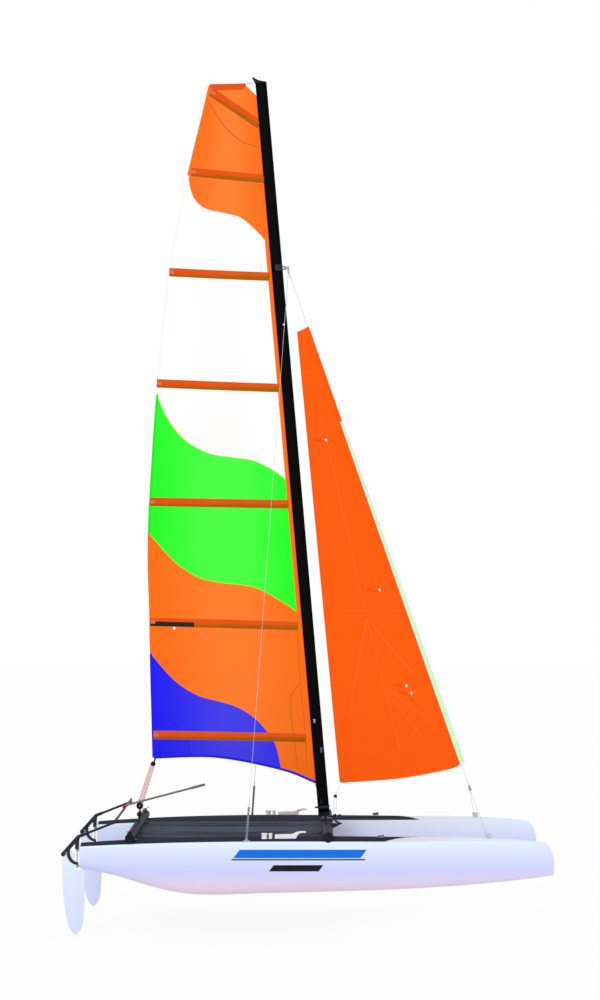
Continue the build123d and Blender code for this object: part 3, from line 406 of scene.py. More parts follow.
def placeAt(origin, xDir=(1, 0, 0), zDir=(0, 0, 1)):
    zAxis = Vector(zDir).normalized()
    yAxis = zAxis.cross(Vector(xDir)).normalized()
    xAxis = yAxis.cross(zAxis)
    place = Matrix((xAxis, yAxis, zAxis)).transposed().to_4x4()
    place.translation = Vector(origin)
    return place


def facing(path, index):
    before = path[max(index - 1, 0)]
    after = path[min(index + 1, len(path) - 1)]
    return (after - before).normalized()


def lengthsAlong(path):
    along = [0.0]
    for before, after in zip(path, path[1:]):
        along.append(along[-1] + (after - before).length)
    return along


def addRings(batch, points, along, spans, finish):
    # a closed skin over rings of points; along places each ring, and spans places each face round it
    count = len(spans)
    faces, uvs = [], []
    for i in range(len(along) - 1):
        for k, (low, high) in enumerate(spans):
            after = (k + 1) % count
            faces.append([i * count + k, i * count + after, (i + 1) * count + after, (i + 1) * count + k])
            uvs.append([(along[i], low), (along[i], high), (along[i + 1], high), (along[i + 1], low)])
    last = len(points) - count
    faces += [list(range(count)), [last + k for k in range(count)]]
    addFaces(batch, points, faces, finish, uvs + [[(0.0, 0.0)] * count] * 2)


def addTube(batch, path, radius, finish, sides=10):
    # a round bar along a path, with its frame carried along so that it doesn't twist
    path = [Vector(point) for point in path]
    radii = radius if isinstance(radius, list) else [radius] * len(path)
    side = facing(path, 0).orthogonal().normalized()
    points = []
    for i, point in enumerate(path):
        ahead = facing(path, i)
        side = (side - ahead * side.dot(ahead)).normalized()
        up = ahead.cross(side)
        for k in range(sides):
            angle = 2 * math.pi * k / sides
            points.append(point + (side * math.cos(angle) + up * math.sin(angle)) * radii[i])
    addRings(batch, points, lengthsAlong(path), [(k / sides, (k + 1) / sides) for k in range(sides)], finish)


def addTurned(batch, start, direction, profile, finish, sides=20):
    # turned on a lathe: profile gives (distance along, radius), from one end to the other
    place = placeAt(start, Vector(direction).orthogonal(), direction)
    points = []
    for along, radius in profile:
        for k in range(sides):
            angle = 2 * math.pi * k / sides
            points.append(place @ Vector((radius * math.cos(angle), radius * math.sin(angle), along)))
    addRings(batch, points, [0.0] * len(profile), [(0.0, 0.0)] * sides, finish)


def addForm(batch, form, place, finish):
    form.verts.index_update()
    points = [place @ vert.co for vert in form.verts]
    faces = [[vert.index for vert in face.verts] for face in form.faces]
    uvs = [[(vert.co.x, vert.co.y) for vert in face.verts] for face in form.faces]
    addFaces(batch, points, faces, finish, uvs)
    form.free()


def addBlock(batch, size, place, finish, soften=0.001):
    form = bmesh.new()
    bmesh.ops.create_cube(form, size=1)
    bmesh.ops.scale(form, vec=size, verts=form.verts)
    bmesh.ops.bevel(form, geom=form.edges[:], offset=soften, segments=2, affect="EDGES", profile=0.5)
    addForm(batch, form, place, finish)


def addPlate(batch, outline, thickness, place, finish, soften):
    # a flat outline, thickened evenly about its own plane
    form = bmesh.new()
    face = form.faces.new([form.verts.new((x, y, -thickness / 2)) for x, y in outline])
    raised = bmesh.ops.extrude_face_region(form, geom=[face])["geom"]
    top = [item for item in raised if isinstance(item, bmesh.types.BMVert)]
    bmesh.ops.translate(form, vec=(0, 0, thickness), verts=top)
    bmesh.ops.bevel(form, geom=form.edges[:], offset=soften, segments=1, affect="EDGES")
    addForm(batch, form, place, finish)


def addStrap(batch, path, across, width, thickness, finish):
    # flat webbing or tape along a path; across is the direction of its width
    path, across = [Vector(point) for point in path], Vector(across).normalized()
    points = []
    for i, point in enumerate(path):
        thick = facing(path, i).cross(across).normalized() * thickness / 2
        half = across * width / 2
        points += [point - half - thick, point + half - thick, point + half + thick, point - half + thick]
    addRings(batch, points, lengthsAlong(path), [(0.0, width), (0.0, thickness)] * 2, finish)


def ringOutline(radius, count):
    turns = [2 * math.pi * k / count for k in range(count)]
    return [(radius * math.cos(turn), radius * math.sin(turn)) for turn in turns]


def smoothLine(points, step):
    # a curve through the points (Catmull-Rom), cut into even short runs
    points = [Vector(point) for point in points]
    ends = [2 * points[0] - points[1]] + points + [2 * points[-1] - points[-2]]
    dense = []
    for i in range(1, len(ends) - 2):
        before, start, end, after = ends[i - 1:i + 3]
        for k in range(24):
            t = k / 24
            dense.append(0.5 * (2 * start + (end - before) * t
                                + (2 * before - 5 * start + 4 * end - after) * t * t
                                + (3 * start - before - 3 * end + after) * t ** 3))
    dense.append(points[-1])
    return evenly(dense, step)


def evenly(line, step):
    line = [Vector(point) for point in line]
    along = lengthsAlong(line)
    count = max(2, round(along[-1] / step) + 1)
    at = np.linspace(0, along[-1], count)
    columns = [np.interp(at, along, [point[k] for point in line]) for k in range(len(line[0]))]
    return [Vector(row) for row in zip(*columns)]


def bezierCurve(controls, count=400):
    # points along one Bezier curve of any degree
    t = np.linspace(0, 1, count)[:, None]
    layer = [np.tile(np.array(control, float), (count, 1)) for control in controls]
    while len(layer) > 1:
        layer = [a * (1 - t) + b * t for a, b in zip(layer, layer[1:])]
    return layer[0]


surfaceTrees = {}


def touch(name, start, aim):
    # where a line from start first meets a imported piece, and which way that face looks
    if name not in surfaceTrees:
        mesh = nodes[name].data
        surfaceTrees[name] = BVHTree.FromPolygons([vert.co for vert in mesh.vertices],
                                                  [list(face.vertices) for face in mesh.polygons])
    spot, normal, _, _ = surfaceTrees[name].ray_cast(Vector(start), Vector(aim))
    return spot, -normal if normal.dot(Vector(aim)) > 0 else normal


def addShell(batch, rows, low, high, finish):
    # a thin closed skin over a grid of (spot, outward direction), from low to high above it
    count = len(rows[0])
    outer = [spot + way * high for row in rows for spot, way in row]
    inner = [spot + way * low for row in rows for spot, way in row]
    faces = []
    for base in (0, len(outer)):
        for i in range(len(rows) - 1):
            for k in range(count - 1):
                corner = base + i * count + k
                faces.append([corner, corner + 1, corner + count + 1, corner + count])
    rim = list(range(count)) + [i * count + count - 1 for i in range(1, len(rows))]
    rim += [(len(rows) - 1) * count + k for k in reversed(range(count - 1))]
    rim += [i * count for i in reversed(range(1, len(rows) - 1))]
    for here, there in zip(rim, rim[1:] + rim[:1]):
        faces.append([here, there, len(outer) + there, len(outer) + here])
    addFaces(batch, outer + inner, faces, finish)


def clothNet(outline, lines, spacing):
    # triangles over a flat outline; each line becomes edges, so that a seam or a change of colour follows it
    marks, edges = [], []
    for line, isClosed in [(outline, True)] + [(line, False) for line in lines]:
        start, count = len(marks), len(line)
        marks += [Vector((point[0], point[1])) for point in line]
        edges += [(start + i, start + i + 1) for i in range(count - 1)]
        if isClosed:
            edges.append((start + count - 1, start))
    near = KDTree(len(marks))
    for i, mark in enumerate(marks):
        near.insert((mark.x, mark.y, 0), i)
    near.balance()
    lowX, highX = min(p[0] for p in outline), max(p[0] for p in outline)
    lowZ, highZ = min(p[1] for p in outline), max(p[1] for p in outline)
    rowStep = spacing * math.sqrt(3) / 2
    grid = []
    for row in range(int((highZ - lowZ) / rowStep) + 1):
        z = lowZ + row * rowStep
        shift = spacing / 2 if row % 2 else 0
        for column in range(int((highX - lowX) / spacing) + 1):
            x = lowX + shift + column * spacing
            if near.find((x, z, 0))[2] > spacing * 0.6:
                grid.append(Vector((x, z)))
    flat, _, faces, _, _, _ = delaunay_2d_cdt(marks + grid, edges, [], 1, 1e-6)
    return flat, faces


def addCloth(batch, outline, lines, spacing, onSurface, finishAt):
    # onSurface gives the point on the cloth over a flat spot
    flat, faces = clothNet(outline, lines, spacing)
    tones = [finishAt(sum((flat[k] for k in face), Vector((0, 0))) / 3) for face in faces]
    uvs = [[(flat[k].x, flat[k].y) for k in face] for face in faces]
    addFaces(batch, [onSurface(spot.x, spot.y) for spot in flat], faces, tones, uvs)


def addChord(piece, aft, fore):
    # a second UV map: how far across the sail a spot is, from its leech (0) to its luff (1)
    layer = piece.data.uv_layers.new(name="chord")
    aft, fore = sorted((p.y, p.x) for p in aft), sorted((p.y, p.x) for p in fore)
    for corner in piece.data.loops:
        spot = piece.data.vertices[corner.vertex_index].co
        start = np.interp(spot.z, [p[0] for p in aft], [p[1] for p in aft])
        end = np.interp(spot.z, [p[0] for p in fore], [p[1] for p in fore])
        layer.data[corner.index].uv = ((spot.x - start) / (end - start), spot.z)


def thicken(piece, thickness):
    # one layer of cloth made into a thin closed sheet
    solid = piece.modifiers.new("thickness", "SOLIDIFY")
    solid.thickness = thickness
    solid.offset = 0
    bpy.context.view_layer.update()
    whole = piece.evaluated_get(bpy.context.evaluated_depsgraph_get())
    mesh = bpy.data.meshes.new_from_object(whole)
    piece.modifiers.clear()
    piece.data = mesh
    mesh.set_sharp_from_angle(angle=math.radians(50))


def addRibbon(batch, line, width, depthAt, finish, lift=0.0009, crown=0.0, columns=1, face=-1, step=0.03):
    # a strip that lies on one face of a sail and follows its depth; crown swells it in the middle
    # finish is one name, or a function of the spot and of how far across the strip it is
    flat = evenly([Vector((point[0], point[1])) for point in line], step)
    skirt = 0.0002   # how far off the cloth its edges end
    ring = columns + 3
    points, tones = [], []
    for i, point in enumerate(flat):
        ahead = facing(flat, i)
        side = Vector((-ahead.y, ahead.x))
        shares = [2 * k / columns - 1 for k in range(columns + 1)]
        rises = [lift + crown * (1 - share * share) ** 0.8 for share in shares] + [skirt, skirt]
        for share, rise in zip(shares + [1, -1], rises):
            spot = point + side * share * width / 2
            points.append((spot.x, depthAt(spot.x, spot.y) + face * rise, spot.y))
    for start, end in zip(flat, flat[1:]):
        for k in range(ring):
            across = (min(k, columns - 1) + 0.5) / columns
            tones.append(finish((start + end) / 2, across) if callable(finish) else finish)
    spans = [(width * k / columns, width * (k + 1) / columns) for k in range(columns)] + [(0.0, lift)] * 3
    addRings(batch, points, lengthsAlong(flat), spans, tones + [tones[0]] * 2)


def addBothFaces(batch, line, width, depthAt, finish, lift=0.0009, crown=0.0, columns=1):
    for face in (-1, 1):
        addRibbon(batch, line, width, depthAt, finish, lift, crown, columns, face)


def sailDepth(plan, camber, ahead, up):
    # how far to port the cloth stands: its camber, and soft ripples that fade out at the luff
    start, fade, height = plan["ripple"]
    slack = min(1.0, max(0.0, (-ahead - start) / fade))
    ripple = sum(math.sin(up * rise + ahead * run) for rise, run in plan["rippleWaves"])
    return float(np.interp(ahead, camber[:, 0], camber[:, 1])) + slack * height * ripple


def addTelltale(batch, x, z, depthAt, radius, tail=0.0):
    # a white disc on each face of a sail, and the wool tail that it holds
    for face in (-1, 1):
        spot = Vector((x, depthAt(x, z) + face * 0.0006, z))   # half the cloth's thickness
        addTurned(batch, spot, (0, face, 0), [(0, radius), (0.0012, radius), (0.0016, radius - 0.003)],
                  "whiteSailcloth")
        if tail:
            wool = [spot + Vector((-tail * k / 6, face * 0.004, -0.012 * math.sin(k * 0.9)))
                    for k in range(7)]
            addTube(batch, wool, 0.0016, "jibPatchCloth", 6)


# the mainsail: places are (forward, up), and the camber is (ahead of the mast's axis, depth)
mainPlan = {
    # the mast's aft face is mastBehind its axis, and the luff stands luffDepth inside the groove
    "mastFoot": (0.092, 0.591), "rake": math.radians(4.94), "mastBehind": 0.074, "luffDepth": 0.008,
    "camber": [(-0.066, 0), (-0.156, 0), (-0.416, 0.095), (-1.3, 0.095), (-1.95, 0)],
    # the ripple is (start behind the axis, distance to grow over, height)
    # each of its waves is (radians to a metre up, radians to a metre ahead)
    "ripple": (0.12, 0.3, 0.0022), "rippleWaves": [(7.3, 1.7), (3.1, -2.9)],
    "luffStart": 0.330, "luffEnd": 7.880,
    "head": (-1.174, 8.563), "peak": (-0.781, 8.563), "clew": (-1.789, 1.188),
    "leech": [(-1.220, 8.371), (-1.618, 6.514), (-1.828, 3.987), (-1.824, 2.670)],
    "foot": [(-1.098, 1.192), (-0.384, 1.056)],
    "netSpacing": 0.032, "thickness": 0.0012, "edgeSpacing": 0.03,
    "tapeWidth": 0.045, "tapeWidthLow": 0.070, "tapeTapersTo": 1.4,
}
rakeCos, rakeSin = math.cos(mainPlan["rake"]), math.sin(mainPlan["rake"])
mainCamber = bezierCurve(mainPlan["camber"])[::-1]


def inMast(x, z):
    # (ahead of the mast's axis, up the mast) of a point on the centreline
    dx, dz = x - mainPlan["mastFoot"][0], z - mainPlan["mastFoot"][1]
    return dx * rakeCos + dz * rakeSin, dz * rakeCos - dx * rakeSin


def fromMast(ahead, up):
    footX, footZ = mainPlan["mastFoot"]
    return Vector((footX + ahead * rakeCos - up * rakeSin, footZ + ahead * rakeSin + up * rakeCos))


def mainY(x, z):
    return sailDepth(mainPlan, mainCamber, *inMast(x, z))


def onMain(x, z):
    return Vector((x, mainY(x, z), z))


spacing = mainPlan["edgeSpacing"]
luffX = mainPlan["luffDepth"] - mainPlan["mastBehind"]
tack, throat = fromMast(luffX, mainPlan["luffStart"]), fromMast(luffX, mainPlan["luffEnd"])
head, peak, clew = (Vector(mainPlan[key]) for key in ("head", "peak", "clew"))
leechLine = smoothLine([head] + mainPlan["leech"] + [clew], spacing)
footLine = smoothLine([clew] + mainPlan["foot"] + [tack], spacing)
luffLine = evenly([tack, throat], spacing)
headLine = evenly([throat, peak, head], spacing)
mainOutline = leechLine[:-1] + footLine[:-1] + luffLine[:-1] + headLine[:-1]

waves = {   # the upper edge of each colour below the top one, from the leech to the luff
    "white": [(-1.413, 7.625), (-1.393, 7.454), (-1.335, 7.310), (-1.221, 7.215), (-1.049, 7.172),
              (-0.862, 7.125), (-0.740, 7.040), (-0.610, 6.910), (-0.500, 6.765)],
    "green": [(-1.800, 5.250), (-1.760, 5.186), (-1.641, 4.911), (-1.447, 4.670), (-1.183, 4.524),
              (-0.930, 4.481), (-0.679, 4.438), (-0.427, 4.305), (-0.300, 4.190)],
    "orange": [(-1.870, 3.690), (-1.824, 3.626), (-1.560, 3.336), (-1.307, 3.168), (-1.056, 3.105),
               (-0.800, 3.077), (-0.604, 3.022), (-0.351, 2.878), (-0.190, 2.765)],
    "blue": [(-1.870, 2.385), (-1.816, 2.317), (-1.560, 2.028), (-1.307, 1.864), (-1.056, 1.794),
             (-0.866, 1.731), (-0.679, 1.613), (-0.540, 1.461), (-0.452, 1.323), (-0.385, 1.040)],
}
waveLines = {name: smoothLine(points, spacing) for name, points in waves.items()}
panelCloth = ["orangeSailcloth", "whiteSailcloth", "greenSailcloth", "orangeSailcloth", "blueSailcloth"]
edgeCloth = {"orangeSailcloth": "orangeEdgeCloth", "whiteSailcloth": "whiteEdgeCloth",
             "greenSailcloth": "greenEdgeCloth", "blueSailcloth": "blueHemCloth"}


def tapeReach(up):
    # where the luff tape's aft edge is, ahead of the mast's axis, so below zero
    share = min(1.0, max(0.0, up / mainPlan["tapeTapersTo"]))
    width = mainPlan["tapeWidthLow"] * (1 - share) + mainPlan["tapeWidth"] * share
    return -mainPlan["mastBehind"] - width


def mainFinish(spot):
    ahead, up = inMast(spot.x, spot.y)
    if ahead > tapeReach(up):
        return "orangeSailcloth"
    panel = 0
    for name, line in waveLines.items():   # the blue ends with its own line
        level = np.interp(spot.x, [p.x for p in line], [p.y for p in line],
                          right=-1.0 if name == "blue" else None)
        if spot.y < level:
            panel += 1
    return panelCloth[panel]


def hemFinish(spot, across):
    return edgeCloth[mainFinish(spot)]


batch = newBatch()
tapeLine = [fromMast(tapeReach(up), up) for up in np.linspace(0.15, 8.1, 120)]
colourLines = list(waveLines.values()) + [tapeLine]
addCloth(batch, mainOutline, colourLines, mainPlan["netSpacing"], onMain, mainFinish)
mainCloth = makePiece("mainsailCloth", batch, "rig", ["mainsail"], sharp=80)
addChord(mainCloth, leechLine, luffLine)
thicken(mainCloth, mainPlan["thickness"])
print("mainsail cloth:", len(mainCloth.data.polygons), "faces")

# the batten pockets: each runs from its leech end to its luff end
pockets = {
    "width": 0.092, "crown": 0.011, "lift": 0.0008, "columns": 12,
    "tabLength": 0.055, "tabWidth": 0.034,
    "stitchAt": 0.96, "stitchWidth": 0.005, "backStitchWidth": 0.004,
    "labelled": 6, "labelLength": 0.478, "labelShare": 0.55,   # the sixth pocket has a bare black label
    "shadeAft": 0.22, "shadeGrows": 0.34,   # how much of a pocket's width takes the painted shade: shadeAft at the leech, growing by shadeGrows towards the luff
    "lines": [((-1.158, 8.496), (-0.627, 8.127)), ((-1.381, 7.619), (-0.573, 7.532)),
              ((-1.618, 6.517), (-0.522, 6.461)), ((-1.757, 5.295), (-0.409, 5.240)),
              ((-1.829, 3.993), (-0.313, 3.965)), ((-1.824, 2.674), (-0.210, 2.630)),
              ((-1.790, 1.435), (-0.119, 1.402))],
}


def pocketFinish(number, start, end):
    def finishAt(spot, across):
        along = (spot.x - start.x) / (end.x - start.x)
        isLabelled = number == pockets["labelled"] and spot.x < start.x + pockets["labelLength"]
        if isLabelled and across < pockets["labelShare"]:
            return "labelCloth"
        # the lower part of each pocket is painted in shade, and the painted shade widens towards the luff
        isShaded = across < pockets["shadeAft"] + pockets["shadeGrows"] * along
        return "pocketUnderCloth" if isShaded else "pocketCloth"
    return finishAt


batch = newBatch()
trim = newBatch()
for number, (leechEnd, luffEnd) in enumerate(pockets["lines"], 1):
    start, end = Vector(leechEnd), Vector(luffEnd)
    ahead = (end - start).normalized()
    down = Vector((ahead.y, -ahead.x)) * pockets["width"] / 2
    addRibbon(batch, [start, end], pockets["width"], mainY, pocketFinish(number, start, end),
              pockets["lift"], pockets["crown"], pockets["columns"])
    for sign in (-1, 1):   # the pocket's two sewn edges, and the stitching that shows on the other face
        edge = down * sign * pockets["stitchAt"]
        stitching = [start + edge, end + edge]
        addRibbon(trim, stitching, pockets["stitchWidth"], mainY, "seamThread", 0.0022)
        addRibbon(trim, stitching, pockets["backStitchWidth"], mainY, "seamThread", 0.0010, face=1)
    addRibbon(trim, [start + ahead * 0.004, start + ahead * pockets["tabLength"]], pockets["tabWidth"],
              mainY, "tabWebbing", pockets["crown"] + 0.0018, 0.001, 4, step=0.01)
pocketPiece = makePiece("battenPockets", batch, "rig", ["batten_pockets"], sharp=60)
print("batten pockets")

mainTrim = {
    "lift": 0.0014, "lowLift": 0.0012,   # how far off the cloth the outer and the inner layers stand
    "hemWidth": 0.026, "headTapeWidth": 0.040, "limeWidth": 0.007,
    "telltale": (-1.564, 2.606, 0.014),   # (forward, up, radius)
    "seams": [   # edges of the corner patches: (points, width, finish)
        ([(-1.181, 8.381), (-1.034, 8.143), (-0.836, 7.957), (-0.631, 7.878)], 0.014, "seamThread"),
        ([(-0.213, 2.580), (-0.176, 2.003), (-0.125, 1.450), (-0.112, 1.047)], 0.009, "seamThread"),
        ([(-0.172, 2.016), (-0.262, 1.900), (-0.287, 1.790), (-0.270, 1.567), (-0.204, 1.062)],
         0.012, "seamThread"),
        ([(-1.787, 1.640), (-1.560, 1.560), (-1.430, 1.380), (-1.400, 1.230)], 0.008, "blueHemCloth")],
    "clewPatch": [(-1.750, 1.183), (-1.764, 1.338)], "clewPatchWidth": 0.073, "clewPatchLift": 0.0113,
}
for points, width, finish in mainTrim["seams"]:
    addBothFaces(trim, smoothLine(points, spacing), width, mainY, finish, mainTrim["lift"])
for name in ("green", "orange"):   # lime tape along two of the joins between colours
    addBothFaces(trim, waveLines[name][3:-2], mainTrim["limeWidth"], mainY, "limeTape", mainTrim["lowLift"])
addBothFaces(trim, leechLine, mainTrim["hemWidth"], mainY, hemFinish, mainTrim["lowLift"], 0.0006, 2)
addBothFaces(trim, footLine, mainTrim["hemWidth"], mainY, "blueHemCloth", mainTrim["lift"], 0.0008, 2)
addBothFaces(trim, evenly([peak, head], spacing), mainTrim["headTapeWidth"], mainY, "pocketCloth",
             mainTrim["lift"], 0.0008, 2)
telltaleX, telltaleZ, telltaleRadius = mainTrim["telltale"]
addTelltale(trim, telltaleX, telltaleZ, mainY, telltaleRadius)
# a sewn patch over the clew board
addRibbon(trim, mainTrim["clewPatch"], mainTrim["clewPatchWidth"], mainY, "blueSailcloth",
          mainTrim["clewPatchLift"], 0.0004, 2, step=0.02)
trimPiece = makePiece("mainsailTrim", trim, "rig", sharp=60)
print("mainsail trim")

# the jib: its head, clew and foot are (up the forestay, behind it), and its camber is (ahead of it, depth)
jibPlan = {
    "sleeveRadius": 0.013, "luffStart": 0.300, "luffEnd": 5.369, "luffBehind": 0.011,
    "camber": [(-0.0133, 0), (-0.350, 0.110), (-0.850, 0.088), (-1.450, 0)],
    "ripple": (0.03, 0.2, 0.0018), "rippleWaves": [(6.1, 2.3), (2.7, -3.7)],
    "head": (5.3585, 0.119), "clew": (0.5405, 1.315), "foot": [(0.370, 0.699), (0.288, 0.168)],
    "netSpacing": 0.03, "thickness": 0.0012, "edgeSpacing": 0.03,
    "sleeveSides": 16, "sleeveLevels": 84, "sideWidth": 0.006,
    "greenTop": 4.22, "noseHigh": 0.018, "noseLow": 0.046,   # the nose is the flap's reach ahead of the stay
    "noseThins": 0.35, "greenAhead": 0.15,   # the flap narrows to its nose, and is green from here forward
}
stayFoot = Vector(joints["jib_swing"]["pos_m"])
stayUp = Vector(joints["jib_swing"]["axis"]).normalized()
stayAhead = Vector((stayUp.z, 0, -stayUp.x))
jibCamber = bezierCurve(jibPlan["camber"])[::-1]


def onStay(up, behind):
    point = stayFoot + stayUp * up - stayAhead * behind
    return Vector((point.x, point.z))


def jibY(x, z):
    reach = Vector((x - stayFoot.x, 0, z - stayFoot.z))
    return sailDepth(jibPlan, jibCamber, reach.dot(stayAhead), reach.dot(stayUp))


def onJib(x, z):
    return Vector((x, jibY(x, z), z))


spacing = jibPlan["edgeSpacing"]
jibTack, jibThroat = (onStay(jibPlan[key], jibPlan["luffBehind"]) for key in ("luffStart", "luffEnd"))
jibHead, jibClew = onStay(*jibPlan["head"]), onStay(*jibPlan["clew"])
jibFoot = smoothLine([jibClew] + [onStay(*point) for point in jibPlan["foot"]] + [jibTack], spacing)
jibLuff = evenly([jibTack, jibThroat], spacing)
jibLeech = evenly([jibHead, jibClew], spacing)
jibOutline = jibFoot[:-1] + jibLuff[:-1] + evenly([jibThroat, jibHead], spacing)[:-1] + jibLeech[:-1]
batch = newBatch()
addCloth(batch, jibOutline, [], jibPlan["netSpacing"], onJib, lambda spot: "jibCloth")
jibCloth = makePiece("jibCloth", batch, "jib_body", ["jib"], sharp=80)
thicken(jibCloth, jibPlan["thickness"])

jibSewing = {
    "seamWidth": 0.012, "patchWidth": 0.009, "hemWidth": 0.020,
    "telltaleRadius": 0.015, "telltaleTail": 0.14, "clewRingIn": 0.022,
    "seams": [   # the sewn joins between panels
        [(0.121, 4.623), (0.330, 3.700), (0.532, 2.801)], [(0.310, 2.800), (0.960, 2.790)],
        [(0.548, 2.713), (0.450, 2.170), (0.355, 1.626)], [(0.548, 2.713), (0.739, 1.978), (0.914, 1.273)],
        [(0.548, 2.713), (1.089, 2.071)], [(0.679, 2.007), (1.177, 1.391)],
        [(0.739, 1.978), (1.280, 1.560)]],
    "patches": [   # rounded edges of the corner patches
        [(0.200, 1.402), (0.399, 1.307), (0.519, 1.184), (0.552, 0.990)],
        [(1.180, 1.060), (1.240, 1.260), (1.400, 1.370)],
        [(-0.165, 5.450), (-0.090, 5.400), (0.010, 5.440)]],
    "telltales": [(0.103, 4.670), (0.695, 3.025), (0.985, 1.972), (1.040, 1.893)],
    "clewRing": [(0, 0.007), (0, 0.013), (0.0015, 0.015), (0.0065, 0.015), (0.008, 0.013), (0.008, 0.007)],
}
trim = newBatch()
for points in jibSewing["seams"]:
    addBothFaces(trim, evenly(points, spacing), jibSewing["seamWidth"], jibY, "jibSeamCloth")
for points in jibSewing["patches"]:
    addBothFaces(trim, smoothLine(points, spacing), jibSewing["patchWidth"], jibY, "jibPatchCloth", 0.0012)
addBothFaces(trim, jibLeech, jibSewing["hemWidth"], jibY, "jibCloth", 0.0010, 0.0006, 2)
addBothFaces(trim, jibFoot, jibSewing["hemWidth"], jibY, "jibPatchCloth", 0.0010, 0.0006, 2)
for x, z in jibSewing["telltales"]:
    addTelltale(trim, x, z, jibY, jibSewing["telltaleRadius"], jibSewing["telltaleTail"])
clewSpot = onJib(jibClew.x, jibClew.y) + Vector((jibSewing["clewRingIn"], 0, jibSewing["clewRingIn"]))
addTurned(trim, clewSpot - Vector((0, 0.004, 0)), (0, 1, 0), jibSewing["clewRing"], "greyAnodised")
jibTrim = makePiece("jibTrim", trim, "jib_body", sharp=60)

batch = newBatch()
rounds = jibPlan["sleeveSides"]
levels = np.linspace(jibPlan["luffStart"], jibPlan["luffEnd"], jibPlan["sleeveLevels"])
turns = [2 * math.pi * k / rounds for k in range(rounds)]
halfTurn = math.pi / rounds
points, tones = [], []
for up in levels:   # a sleeve round the stay, whose pale green flap tapers upward
    share = min(1.0, up / jibPlan["greenTop"])
    nose = jibPlan["noseLow"] * (1 - share) + jibPlan["noseHigh"] * share
    if up > jibPlan["greenTop"]:
        nose = jibPlan["sleeveRadius"]
    for turn in turns:
        ahead = math.cos(turn)
        reach = nose if ahead > 0 else jibPlan["sleeveRadius"]
        flap = (nose - jibPlan["sleeveRadius"]) / jibPlan["noseLow"]
        thinned = jibPlan["noseThins"] * max(0.0, ahead) * flap
        points.append(stayFoot + stayUp * up + stayAhead * ahead * reach
                      + Vector((0, jibPlan["sleeveRadius"] * (1 - thinned) * math.sin(turn), 0)))
        isGreen = math.cos(turn + halfTurn) > jibPlan["greenAhead"]
        flapCloth = "greenSleeveCloth" if isGreen else "paleSleeveCloth"
        tones.append("jibCloth" if up > jibPlan["greenTop"] else flapCloth)
tones = tones[:-rounds] + ["jibCloth"] * 2   # the last ring starts no faces, and then come the two ends
width = jibPlan["sideWidth"]
addRings(batch, points, levels, [(k * width, (k + 1) * width) for k in range(rounds)], tones)
jibSleeve = makePiece("jibSleeve", batch, "jib_body", ["luff_sleeve"], sharp=50)
print("jib:", len(jibCloth.data.polygons), "faces")

# the trampoline, with its hems and seams, and the toe straps
deckPlan = {
    "sag": 0.010, "netSpacing": 0.05, "thickness": 0.0012, "inset": 0.002,
    "hem": 0.050, "hemInset": 0.016, "railInset": 0.036, "tape": 0.0016,
    "seams": (-1.28, -0.56), "seamWidth": 0.030, "lift": 0.0014, "upperLift": 0.0030,
    "strapY": 0.420, "strapWidth": 0.050, "strapSag": 0.024, "strapThickness": 0.003,
    "padWidth": 0.062, "padFrom": -1.50, "padTo": -0.34, "padThickness": 0.005, "padLift": 0.0032,
    "stitchIn": 0.006, "stitchWidth": 0.003, "stitchLift": 0.0028,
}
trampLow, trampHigh = (Vector(corner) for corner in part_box("trampoline"))
strapLow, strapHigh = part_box("toe_straps")
trampMiddle = (trampLow + trampHigh) / 2
trampHalf = (trampHigh - trampLow) / 2 - Vector((deckPlan["inset"], deckPlan["inset"], 0))


def onTramp(x, y, lift=0.0):
    across, along = (y - trampMiddle.y) / trampHalf.y, (x - trampMiddle.x) / trampHalf.x
    sag = deckPlan["sag"] * max(0.0, 1 - across ** 4) * max(0.0, 1 - along ** 4)
    return Vector((x, y, trampMiddle.z - sag + lift))


corners = [Vector((trampMiddle.x + sx * trampHalf.x, trampMiddle.y + sy * trampHalf.y))
           for sx, sy in ((-1, -1), (1, -1), (1, 1), (-1, 1))]
trampOutline = []
for start, end in zip(corners, corners[1:] + corners[:1]):
    trampOutline += evenly([start, end], deckPlan["netSpacing"])[:-1]
batch = newBatch()
addCloth(batch, trampOutline, [], deckPlan["netSpacing"], onTramp, lambda spot: "meshCloth")
trampCloth = makePiece("trampolineMesh", batch, "boat", ["trampoline"], sharp=80)
thicken(trampCloth, deckPlan["thickness"])

trim = newBatch()
hem = deckPlan["hem"]
hemReach = abs(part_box("starboard_trampoline_rail")[0][1]) - deckPlan["railInset"] - hem / 2
fromX, toX = trampLow.x + deckPlan["hemInset"], trampHigh.x - deckPlan["hemInset"]
for side in sides.values():   # hems along the rails
    line = [onTramp(x, side * hemReach, deckPlan["lift"]) for x in np.linspace(fromX, toX, 34)]
    addStrap(trim, line, (0, 1, 0), hem, deckPlan["tape"], "hemWebbing")
beamHems = [(x, hem, deckPlan["upperLift"]) for x in (fromX + hem / 2, toX - hem / 2)]
seams = [(x, deckPlan["seamWidth"], deckPlan["lift"]) for x in deckPlan["seams"]]
for x, width, lift in beamHems + seams:   # hems along the beams, and the sewn joins between
    line = [onTramp(x, y, lift) for y in np.linspace(-hemReach, hemReach, 30)]
    addStrap(trim, line, (1, 0, 0), width, deckPlan["tape"], "hemWebbing")
trampTrim = makePiece("trampolineTrim", trim, "boat", sharp=50)

strapMiddle, strapHalf = (strapLow[0] + strapHigh[0]) / 2, (strapHigh[0] - strapLow[0]) / 2


def onStrap(x, y, lift=0.0):
    share = (x - strapMiddle) / strapHalf
    return Vector((x, y, strapHigh[2] - 0.002 - deckPlan["strapSag"] * (1 - share * share) + lift))


